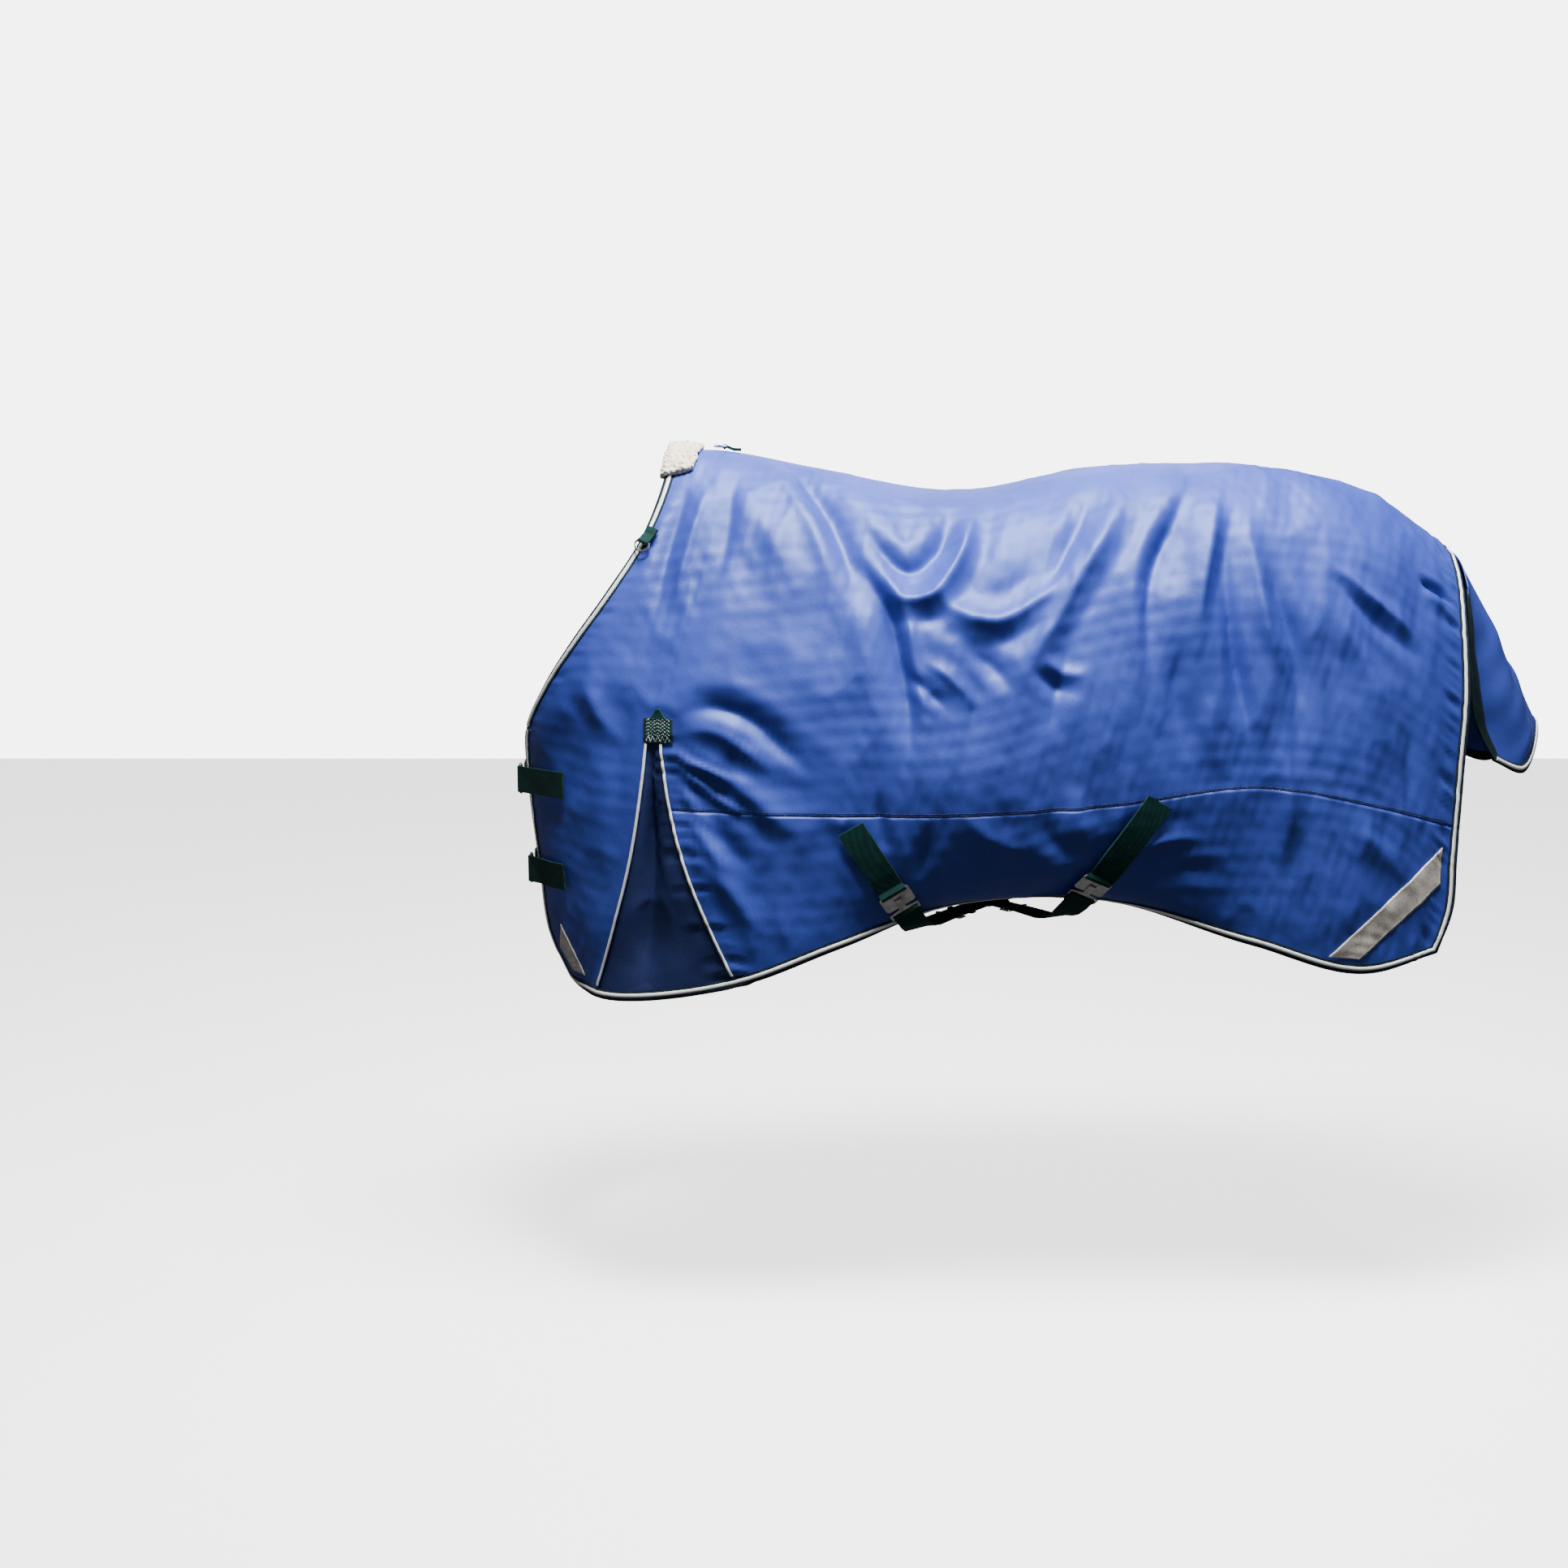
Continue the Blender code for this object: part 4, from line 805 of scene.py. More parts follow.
@dataclass(frozen=True)
class CoatedCloth:
    """Closely woven nylon with a slightly glossy coat.

    Attributes:
        name: The material's name.
        colour: Its main colour.
        deep: Colour of its darker clouds.
        worn: Colour where dust and wear have dulled it.
        roughness: Its lowest roughness.
    """

    name: str
    colour: Triple
    deep: Triple
    worn: Triple
    roughness: float

    def make(self) -> bpy.types.Material:
        """Build the material."""
        glint = (0.45, 0.60, 1.0, 1.0)
        graph = Graph(self.name, self.colour, self.roughness, Specular_Tint=glint, Specular_IOR_Level=0.75)
        body, cloth = graph.place("Object"), graph.place("UV")
        clouds = graph.noise(body, 4.0, 5.0)
        grain = graph.noise(cloth, 420.0, 2.0)
        warp, weft = graph.stripes(cloth, 210.0, "X", 0.6), graph.stripes(cloth, 210.0, "Y", 0.6)
        weave = graph.combine("MAXIMUM", warp, weft)
        shade = graph.mix(clouds, 0.72, grain, 0.28)
        graph.tint(shade, [(0.30, self.deep), (0.52, self.colour), (0.80, self.worn)])
        graph.rough(clouds, self.roughness, self.roughness + 0.12)
        graph.bump(weave, 0.25 * MM, 0.25)
        graph.bump(graph.noise(body, 38.0, 4.0), 2.2 * MM, 0.22)
        graph.bump(graph.noise(body, 120.0, 3.0), 0.8 * MM, 0.20)
        return graph.material


@dataclass(frozen=True)
class Webbing:
    """Ribbed woven strap or tape.

    Attributes:
        name: The material's name.
        colour: Its main colour.
        rib: Distance from one rib to the next.
        coordinates: "UV" for ribs across the piece's own length, "Object" for ribs turned by turn.
        turn: Rotation of the pattern about each axis, used on Object coordinates.
    """

    name: str
    colour: Triple = (0.002, 0.027, 0.025)
    rib: float = 1.8 * MM
    coordinates: str = "UV"
    turn: Triple = (0.0, 0.0, 0.0)

    def make(self) -> bpy.types.Material:
        """Build the material."""
        graph = Graph(self.name, self.colour, 0.62, Sheen_Weight=0.03, Specular_IOR_Level=0.12)
        place = graph.place(self.coordinates, turn=self.turn)
        scale = 0.314 / self.rib
        ribs = graph.stripes(place, scale, "X", 0.5)
        yarn = graph.stripes(place, 0.55 * scale, "Y", 1.2)
        weave = graph.combine("MULTIPLY", ribs, graph.between(yarn, 0, 1, 0.55, 1.0))
        fluff = graph.noise(graph.place("Object"), 45.0, 5.0)
        dark, light = (tuple(s * c for c in self.colour) for s in (0.45, 2.1))
        shade = graph.mix(weave, 0.5, fluff, 0.5)
        graph.tint(shade, [(0.2, dark), (0.5, self.colour), (0.85, light)])
        graph.rough(fluff, 0.50, 0.80)
        graph.bump(weave, 0.5 * MM, 0.6)
        graph.bump(graph.noise(graph.place("Object"), 260.0, 2.0), 0.3 * MM, 0.3)
        return graph.material


@dataclass(frozen=True)
class CordPiping:
    """White coated cord."""

    name: str = "piping"
    colour: Triple = (0.80, 0.83, 0.82)

    def make(self) -> bpy.types.Material:
        """Build the material."""
        graph = Graph(self.name, self.colour, 0.42, Coat_Weight=0.15)
        body = graph.place("Object")
        dirt = graph.noise(body, 26.0, 5.0)
        graph.tint(dirt, [(0.22, (0.55, 0.56, 0.52)), (0.42, (0.76, 0.79, 0.78)), (0.7, self.colour)])
        graph.rough(dirt, 0.34, 0.58)
        graph.bump(graph.stripes(graph.place("UV"), 180.0, "DIAGONAL", 0.4), 0.25 * MM, 0.35)
        graph.bump(graph.noise(body, 90.0, 3.0), 0.8 * MM, 0.25)
        return graph.material


@dataclass(frozen=True)
class ReflectiveTape:
    """Grey tape with a close honeycomb under its surface."""

    name: str = "reflective"
    colour: Triple = (0.56, 0.52, 0.47)

    def make(self) -> bpy.types.Material:
        """Build the material."""
        graph = Graph(self.name, self.colour, 0.36, metallic=0.35)
        cloth = graph.place("UV")
        walls = graph.between(graph.cells(cloth, 300.0, "DISTANCE_TO_EDGE"), 0.02, 0.14)
        scuffs = graph.noise(graph.place("Object"), 30.0, 6.0)
        shade = graph.mix(walls, 0.30, scuffs, 0.70)
        graph.tint(shade, [(0.25, (0.30, 0.28, 0.25)), (0.5, self.colour), (0.8, (0.74, 0.71, 0.66))])
        graph.rough(scuffs, 0.28, 0.60)
        graph.bump(walls, 0.2 * MM, 0.35)
        graph.bump(graph.noise(graph.place("Object"), 60.0, 3.0), 1.2 * MM, 0.25)
        return graph.material


@dataclass(frozen=True)
class Fleece:
    """Cream pile, matted in places."""

    name: str = "fleece"
    colour: Triple = (0.80, 0.72, 0.56)

    def make(self) -> bpy.types.Material:
        """Build the material."""
        graph = Graph(self.name, self.colour, 0.95, Sheen_Weight=0.6, Sheen_Roughness=0.5)
        body = graph.place("Object")
        curls, hairs = graph.cells(body, 190.0), graph.noise(body, 520.0, 4.0)
        shade = graph.mix(curls, 0.6, hairs, 0.5)
        graph.tint(shade, [(0.2, (0.90, 0.84, 0.70)), (0.55, self.colour), (0.9, (0.50, 0.42, 0.29))])
        graph.bump(curls, 2.5 * MM, 0.8)
        graph.bump(hairs, 1.0 * MM, 0.7)
        return graph.material


@dataclass(frozen=True)
class Nickel:
    """Bright plated metal with fine scratches and a few dull spots."""

    name: str = "nickel"
    colour: Triple = (0.66, 0.65, 0.62)

    def make(self) -> bpy.types.Material:
        """Build the material."""
        graph = Graph(self.name, self.colour, 0.2, metallic=1.0)
        body = graph.place("Object")
        dull = graph.noise(body, 70.0, 5.0)
        scratches = graph.noise(graph.place("Object", (1, 9, 2)), 340.0, 2.0)
        graph.tint(dull, [(0.3, (0.44, 0.42, 0.38)), (0.55, self.colour), (0.8, (0.76, 0.75, 0.72))])
        graph.rough(graph.combine("MULTIPLY", dull, scratches), 0.12, 0.62)
        graph.bump(scratches, 0.1 * MM, 0.18)
        return graph.material


@dataclass(frozen=True)
class Rubber:
    """Matt black moulded rubber."""

    name: str = "rubber"
    colour: Triple = (0.016, 0.016, 0.017)

    def make(self) -> bpy.types.Material:
        """Build the material."""
        graph = Graph(self.name, self.colour, 0.65)
        body = graph.place("Object")
        bloom = graph.noise(body, 60.0, 4.0)
        graph.tint(bloom, [(0.35, self.colour), (0.8, (0.05, 0.05, 0.048))])
        graph.rough(bloom, 0.5, 0.85)
        graph.bump(graph.noise(body, 700.0, 2.0), 0.2 * MM, 0.4)
        return graph.material


@dataclass(frozen=True)
class Thread:
    """Twisted sewing thread."""

    name: str
    colour: Triple

    def make(self) -> bpy.types.Material:
        """Build the material."""
        graph = Graph(self.name, self.colour, 0.6, Sheen_Weight=0.2)
        body = graph.place("Object")
        fuzz = graph.noise(body, 320.0, 3.0)
        graph.tint(fuzz, [(0.3, tuple(0.6 * c for c in self.colour)), (0.6, self.colour)])
        graph.rough(fuzz, 0.45, 0.75)
        graph.bump(graph.stripes(body, 420.0, "DIAGONAL"), 0.2 * MM, 0.5)
        return graph.material


SHELL_CLOTH = CoatedCloth("shell", (0.028, 0.048, 0.30), (0.017, 0.030, 0.21), (0.050, 0.082, 0.40), 0.44)
# Painted shade: the pleat is the shell's own cloth in darker colours, standing in for the shadow in the
# gusset's valley.
PLEAT_SHADE_CLOTH = CoatedCloth("pleat", (0.009, 0.016, 0.080), (0.005, 0.009, 0.05), (0.018, 0.029, 0.11), 0.50)
LINING_CLOTH = CoatedCloth("lining", (0.012, 0.020, 0.075), (0.006, 0.010, 0.045), (0.03, 0.04, 0.11), 0.42)
TAPE = Webbing("binding_tape", (0.003, 0.014, 0.018), 1.3 * MM)
STRAP = Webbing("webbing")
PALE_THREAD = Thread("pale_thread", (0.50, 0.56, 0.55))
DARK_THREAD = Thread("dark_thread", (0.014, 0.030, 0.14))


class Finishes:
    """Every material, made once and shared."""

    def __init__(self) -> None:
        """Start with none made."""
        self.made: dict[str, bpy.types.Material] = {}

    def dress(self, piece: Piece, finish: object) -> Piece:
        """Give a piece a finish.

        Args:
            piece: The piece.
            finish: One of the finishes above.

        Returns:
            The same piece.
        """
        if finish.name not in self.made:
            self.made[finish.name] = finish.make()
        piece.data.materials.clear()
        piece.data.materials.append(self.made[finish.name])
        return piece


# Sub-assemblies


@dataclass
class Drape:
    """The rug's cloth with its folds, on which everything else is laid.

    Attributes:
        column_steps: Grid cells between one rib and the next, from the front edge.
        level_steps: Grid cells from the spine to the gusset's top, to the side seam and to the hem.
        folds: Folds seen on the wearer's left.
        calm: Patches that fittings hold flat.
        relief: How much every fold is heightened.
    """

    column_steps: tuple[int, ...] = (8, 8, 16, 14, 30, 50, 46, 48, 44, 32)
    level_steps: tuple[int, ...] = (120, 22, 50)
    folds: tuple[Fold, ...] = (
        # Withers and saddle
        Fold(((0.150, -0.010), (0.205, -0.060), (0.262, -0.150), (0.290, -0.240), (0.282, -0.330)),
             -0.016, 0.026, 0.3),
        Fold(((0.085, -0.030), (0.120, -0.120), (0.180, -0.230), (0.200, -0.330)), 0.008, 0.040, 0.2),
        Fold(((0.290, -0.160), (0.322, -0.232), (0.355, -0.290), (0.376, -0.370), (0.389, -0.506),
               (0.385, -0.600)),
             -0.018, 0.020, -0.4),
        Fold(((0.335, -0.215), (0.375, -0.275), (0.430, -0.272), (0.475, -0.215), (0.520, -0.110)),
             0.014, 0.017, 0.0, 0.35),
        Fold(((0.300, -0.110), (0.345, -0.190), (0.390, -0.222), (0.440, -0.190), (0.480, -0.100)),
             -0.011, 0.018, 0.0, 0.4),
        Fold(((0.410, -0.215), (0.470, -0.290), (0.545, -0.312), (0.632, -0.265), (0.720, -0.150)),
             0.013, 0.022, 0.1, 0.4),
        Fold(((0.373, -0.392), (0.417, -0.430), (0.470, -0.480)), -0.006, 0.010),
        Fold(((0.400, -0.370), (0.450, -0.405), (0.520, -0.470)), 0.006, 0.012),
        Fold(((0.470, -0.350), (0.540, -0.390), (0.585, -0.450)), -0.006, 0.014),
        # Barrel
        Fold(((0.800, -0.060), (0.745, -0.150), (0.690, -0.245), (0.610, -0.370), (0.565, -0.480)),
             0.014, 0.027, -0.3),
        Fold(((0.740, -0.060), (0.690, -0.160), (0.640, -0.250), (0.580, -0.330)), -0.010, 0.023, 0.3),
        Fold(((0.600, -0.390), (0.650, -0.425), (0.700, -0.440)), -0.005, 0.012),
        Fold(((0.618, -0.360), (0.668, -0.402), (0.722, -0.405)), 0.004, 0.011),
        Fold(((0.700, -0.300), (0.655, -0.420), (0.640, -0.540)), -0.008, 0.020),
        Fold(((0.560, -0.300), (0.520, -0.420), (0.505, -0.600)), -0.007, 0.034),
        # Croup: folds that spread from the top of the hips
        Fold(((0.925, -0.050), (0.870, -0.130), (0.825, -0.220), (0.812, -0.330), (0.835, -0.450)),
             -0.015, 0.020, 0.3),
        Fold(((0.965, -0.060), (0.935, -0.170), (0.905, -0.290), (0.900, -0.400)), 0.012, 0.017, -0.2),
        Fold(((0.960, -0.100), (0.962, -0.240), (0.975, -0.360), (1.002, -0.506), (1.010, -0.610)),
             -0.015, 0.018, -0.3),
        Fold(((1.000, -0.110), (1.012, -0.220), (1.030, -0.320), (1.070, -0.430)), 0.012, 0.017, 0.2),
        Fold(((1.020, -0.130), (1.050, -0.250), (1.085, -0.360), (1.095, -0.480), (1.100, -0.620)),
             -0.013, 0.022, -0.2),
        Fold(((0.880, -0.330), (0.868, -0.430), (0.880, -0.540)), -0.008, 0.018),
        Fold(((0.930, -0.400), (0.925, -0.500), (0.945, -0.600)), 0.007, 0.018),
        # Hip and rear
        Fold(((1.120, -0.180), (1.180, -0.235), (1.260, -0.300), (1.340, -0.360)), 0.007, 0.014, 0.2),
        Fold(((1.150, -0.235), (1.215, -0.292), (1.280, -0.352), (1.350, -0.400)), -0.006, 0.015, 0.0),
        Fold(((1.120, -0.260), (1.180, -0.330), (1.230, -0.430), (1.250, -0.560)), 0.009, 0.026),
        Fold(((1.060, -0.480), (1.075, -0.600), (1.070, -0.760)), 0.008, 0.022),
        Fold(((1.300, -0.420), (1.310, -0.540), (1.300, -0.680)), -0.006, 0.024),
        Fold(((1.180, -0.640), (1.240, -0.720), (1.320, -0.800)), 0.005, 0.026),
        Fold(((1.335, -0.245), (1.375, -0.268), (1.425, -0.300)), -0.009, 0.007, 0.2, 0.25),
        Fold(((1.330, -0.262), (1.372, -0.290), (1.415, -0.325)), 0.006, 0.011, 0.0, 0.3),
        # Shoulder
        Fold(((-0.035, -0.535), (0.000, -0.562), (0.045, -0.590), (0.085, -0.606)), 0.006, 0.007, 0.0, 0.3),
        Fold(((-0.035, -0.560), (0.005, -0.600), (0.060, -0.640), (0.115, -0.662)), 0.006, 0.008, 0.0, 0.3),
        Fold(((-0.025, -0.600), (0.010, -0.650), (0.055, -0.700)), 0.005, 0.008, 0.0, 0.3),
        Fold(((-0.015, -0.650), (0.025, -0.705), (0.075, -0.770)), 0.005, 0.009, 0.0, 0.3),
        Fold(((-0.005, -0.050), (-0.045, -0.180), (-0.078, -0.340)), -0.006, 0.016),
        Fold(((0.045, -0.030), (0.010, -0.120), (-0.020, -0.230), (-0.030, -0.330)), 0.007, 0.018),
        Fold(((0.075, -0.045), (0.060, -0.160), (0.035, -0.270)), -0.006, 0.014),
        Fold(((-0.025, -0.488), (0.040, -0.462), (0.110, -0.484), (0.170, -0.540), (0.235, -0.600)),
             -0.011, 0.017, 0.3),
        Fold(((-0.030, -0.515), (0.040, -0.510), (0.105, -0.545), (0.180, -0.610)), 0.009, 0.016),
        Fold(((-0.020, -0.545), (0.060, -0.590), (0.150, -0.660), (0.230, -0.720)), 0.008, 0.024, 0.2),
        Fold(((0.000, -0.640), (0.060, -0.700), (0.130, -0.790)), -0.007, 0.020),
        Fold(((0.020, -0.730), (0.075, -0.800), (0.120, -0.880)), 0.006, 0.018),
        Fold(((-0.110, -0.450), (-0.130, -0.560), (-0.150, -0.700)), -0.006, 0.022),
        Fold(((-0.200, -0.400), (-0.170, -0.480), (-0.110, -0.540)), 0.006, 0.020),
        # Belly, drawn up by the surcingles
        Fold(((0.250, -0.640), (0.290, -0.700), (0.330, -0.770)), 0.006, 0.016),
        Fold(((0.330, -0.600), (0.345, -0.690), (0.350, -0.760)), -0.006, 0.014),
        Fold(((0.430, -0.660), (0.420, -0.730), (0.400, -0.790)), -0.007, 0.015),
        Fold(((0.480, -0.640), (0.540, -0.700), (0.640, -0.730)), 0.006, 0.020),
        Fold(((0.620, -0.640), (0.650, -0.700), (0.700, -0.750)), -0.007, 0.015),
        Fold(((0.690, -0.600), (0.700, -0.670), (0.720, -0.720)), 0.006, 0.016),
        Fold(((0.760, -0.740), (0.850, -0.700), (0.940, -0.700)), 0.006, 0.015),
        Fold(((0.800, -0.790), (0.880, -0.760), (0.980, -0.770)), -0.005, 0.014),
    )
    calm: tuple[Calm, ...] = (
        Calm((-0.295, -0.622), 0.075), Calm((-0.285, -0.798), 0.075), Calm((-0.065, -0.510), 0.055),
        Calm((0.335, -0.760), 0.060), Calm((0.372, -0.815), 0.070),
        Calm((0.765, -0.730), 0.060), Calm((0.722, -0.790), 0.070),
        Calm((0.300, -0.700), 0.045), Calm((0.805, -0.680), 0.045),
    )
    relief: float = 1.35

    def make(self, side: Side) -> Cloth:
        """Loft one half and fold it.

        Args:
            side: Which half.

        Returns:
            Its folded cloth.
        """
        columns = self._numbers(self.column_steps)
        levels = self._numbers(self.level_steps)
        cloth = Cloth(side, columns, levels)
        shift = 0.0 if side is Side.LEFT else 0.022
        slit = self._slit_gap(cloth)
        height = np.zeros(cloth.flat.shape[:2])
        for fold in self.folds:
            line = tuple((x + shift if 0.1 < x < 1.2 else x, z) for x, z in fold.line)
            height += cloth.fold_height(replace(fold, line=line, height=self.relief * fold.height))
        seed = 11 if side is Side.LEFT else 29
        soft = waves(cloth.flat, seed, (0.14, 0.34), stretch=(1.3, 0.7))
        creases = 1 - abs(waves(cloth.flat, seed + 1, (0.10, 0.26), stretch=(1.5, 0.6)))
        fine = waves(cloth.flat, seed + 2, (0.022, 0.060), stretch=(1.2, 0.8))
        height += 2.2 * MM * soft + 3.0 * MM * creases + 0.6 * MM * fine
        height *= cloth.calmness(self.calm) * self._held(cloth, slit)
        height += self._puckers(cloth, seed, slit) + self._seam(cloth)
        cloth.push(height)
        return cloth

    @staticmethod
    def _numbers(steps: Sequence[int]) -> np.ndarray:
        """Evenly spaced numbers within each span, with the given cells in each."""
        parts = [np.linspace(k, k + 1, count, endpoint=False) for k, count in enumerate(steps)]
        return np.concatenate([*parts, [float(len(steps))]])

    @staticmethod
    def _edge_gaps(cloth: Cloth) -> tuple[np.ndarray, np.ndarray, np.ndarray]:
        """Distance of every point to the front edge, to the hem and to the rear edge."""
        across = np.cumsum(np.linalg.norm(np.diff(cloth.points, axis=0), axis=2), axis=0)
        across = np.concatenate([np.zeros((1, len(cloth.levels))), across])
        hem = cloth.flat[:, -1:, 1] - cloth.flat[..., 1]
        return across, hem, across[-1:] - across

    def _held(self, cloth: Cloth, slit: np.ndarray) -> np.ndarray:
        """Share of the folds' height that edges, the spine and the slit leave."""
        front, hem, rear = self._edge_gaps(cloth)
        share = smooth_step(front, 0.006, 0.075) * smooth_step(hem, 0.004, 0.085)
        share = share * smooth_step(rear, 0.006, 0.085)
        share *= smooth_step(cloth.flat[..., 1], 0.0, 0.060)
        return share * (0.15 + 0.85 * smooth_step(slit, 0.004, 0.050))

    @staticmethod
    def _slit_gap(cloth: Cloth) -> np.ndarray:
        """Distance of every point to the gusset's slit."""
        gaps = []
        for number in GUSSET_COLUMNS:
            edge = cloth.points[cloth.column(number), cloth.level(SLIT_TOP):: 4]
            gap = np.linalg.norm(cloth.points[:, :, None] - edge[None, None], axis=3).min(axis=2)
            gaps.append(gap)
        return np.minimum(*gaps)

    def _puckers(self, cloth: Cloth, seed: int, slit: np.ndarray) -> np.ndarray:
        """Small puckers that the sewing draws up beside bindings, slit and seam."""
        front, hem, rear = self._edge_gaps(cloth)
        x, down = cloth.points[..., 0], cloth.flat[..., 1]
        along_edge = waves(np.stack([down, 0 * down], 2), seed + 3, (0.016, 0.045), 14)
        along_hem = waves(np.stack([x, 0 * x], 2), seed + 4, (0.018, 0.060), 14)
        seam_gap = abs(down - down[:, cloth.level(SEAM_LEVEL)][:, None])
        height = 2.6 * MM * along_edge * np.exp(-(((rear - 0.034) / 0.016) ** 2))
        height += 0.9 * MM * along_edge * np.exp(-(((front - 0.032) / 0.014) ** 2))
        height += 1.0 * MM * along_hem * np.exp(-(((hem - 0.034) / 0.016) ** 2))
        behind = x > cloth.points[cloth.column(3.5), :, 0]
        height += 2.6 * MM * along_edge * np.exp(-(((slit - 0.020) / 0.016) ** 2)) * behind
        height += 0.9 * MM * along_hem * np.exp(-((seam_gap / 0.020) ** 2)) * (x > 0.0)
        return height

    @staticmethod
    def _seam(cloth: Cloth) -> np.ndarray:
        """The groove and the ridge of the side seam."""
        down = cloth.flat[..., 1]
        gap = down - down[:, cloth.level(SEAM_LEVEL)][:, None]
        behind = smooth_step(cloth.columns, 4.0, 4.3)[:, None]
        groove, ridge = np.exp(-((gap / 0.0035) ** 2)), np.exp(-(((gap + 0.007) / 0.005) ** 2))
        return behind * (0.2 * MM * ridge - 0.3 * MM * groove)


@dataclass
class Panels:
    """The shell with its chest panels, and the side panels, each a sheet 2 mm thick.

    Attributes:
        thickness: Thickness of the shell with its light filling.
    """

    thickness: float = 2.0 * MM

    def build(self, cloths: dict[Side, Cloth], finishes: Finishes) -> list[Piece]:
        """Cut the panels of both halves.

        Args:
            cloths: The folded halves.
            finishes: The shared materials.

        Returns:
            The pieces.
        """
        made = []
        for side, cloth in cloths.items():
            word = side.name.lower()
            seam, slit = cloth.level(SEAM_LEVEL), cloth.level(SLIT_TOP)
            front, back = (cloth.column(number) for number in GUSSET_COLUMNS)
            open_slit = (slice(front + 1, back), slice(slit + 1, None))
            lower = (slice(front + 1, None), slice(seam + 1, None))
            upper = self._sheet(f"shell_{word}", cloth, slice(0, None), slice(0, None), (open_slit, lower))
            rear = self._sheet(f"side_panel_cloth_{word}", cloth, slice(back, None), slice(seam, None))
            for piece, cut in ((upper, (1.93, 0.82)), (rear, (1.36, 0.27))):
                finishes.dress(piece, SHELL_CLOTH)
                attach(piece, ROOT)
            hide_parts(f"side_panel_{word}")
            made += [upper, rear]
        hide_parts("outer_shell", "chest_panel_left")
        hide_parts("chest_panel_right")
        return made

    def _sheet(
        self, name: str, cloth: Cloth, across: slice, down: slice, holes: Sequence[tuple[slice, slice]] = ()
    ) -> Piece:
        """Cut one sheet out of the cloth and thicken it.

        Args:
            name: Name of the new piece.
            cloth: The half it is cut from.
            across: Which columns of the grid it takes.
            down: Which levels of the grid it takes.
            holes: Columns and levels of each stretch to leave out.

        Returns:
            The closed sheet.
        """
        points = cloth.points[across, down]
        flat = cloth.flat[across, down]
        if cloth.side is Side.LEFT:
            points, flat = points[::-1], flat[::-1]
        piece = grid_piece(name, points)
        self._lay_out(piece, flat)
        inside = np.zeros(cloth.points.shape[:2], bool)
        for hole in holes:
            inside[hole] = True
        inside = inside[across, down]
        if cloth.side is Side.LEFT:
            inside = inside[::-1]
        if inside.any():
            self._leave_out(piece, np.swapaxes(inside, 0, 1).reshape(-1))
        return thicken(piece, self.thickness)

    @staticmethod
    def _lay_out(piece: Piece, flat: np.ndarray) -> None:
        """Give a sheet the UV map of its flat places, in metres."""
        mesh = piece.data
        corners = np.empty(len(mesh.loops), np.int32)
        mesh.loops.foreach_get("vertex_index", corners)
        places = np.swapaxes(flat, 0, 1).reshape(-1, 2)[corners]
        mesh.uv_layers[0].data.foreach_set("uv", places.reshape(-1).astype(np.float32))

    @staticmethod
    def _leave_out(piece: Piece, inside: np.ndarray) -> None:
        """Delete the vertices inside the holes.

        Args:
            piece: The sheet.
            inside: One flag for each of its vertices.
        """
        pick(piece)
        bpy.ops.object.mode_set(mode="EDIT")
        bpy.ops.mesh.select_mode(type="VERT")
        bpy.ops.mesh.select_all(action="DESELECT")
        bpy.ops.object.mode_set(mode="OBJECT")
        for vertex, flag in zip(piece.data.vertices, inside):
            vertex.select = bool(flag)
        bpy.ops.object.mode_set(mode="EDIT")
        bpy.ops.mesh.delete(type="VERT")
        bpy.ops.object.mode_set(mode="OBJECT")


@dataclass
class Lining:
    """The inner sheet, which follows the shell's folds and falls back behind the gussets.

    Attributes:
        lift: Where its outer face lies, below the shell's outer face.
        thickness: Its thickness.
        hollow: How much deeper it lies behind a gusset's pleat.
    """

    lift: float = -4.6 * MM
    thickness: float = 0.8 * MM
    hollow: float = 32 * MM

    def build(self, cloths: dict[Side, Cloth], finishes: Finishes) -> list[Piece]:
        """Cut the lining of both halves.

        Args:
            cloths: The folded halves.
            finishes: The shared materials.

        Returns:
            The pieces.
        """
        made = []
        for side, cloth in cloths.items():
            first, last = GUSSET_COLUMNS
            across = smooth_step(cloth.columns, first - 0.05, first + 0.15)
            across = across * (1 - smooth_step(cloth.columns, last - 0.15, last + 0.05))
            down = smooth_step(cloth.levels, 1.0, 1.25) * (1 - smooth_step(cloth.levels, 2.70, 2.97))
            lift = self.lift - self.hollow * across[:, None] * down[None]
            points = (cloth.beneath + lift[..., None] * cloth.plain_normals)[::2, ::2]
            if side is Side.LEFT:
                points = points[::-1]
            piece = thicken(grid_piece(f"lining_{side.name.lower()}", points), self.thickness)
            finishes.dress(piece, LINING_CLOTH)
            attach(piece, ROOT)
            made.append(piece)
        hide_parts("lining")
        return made


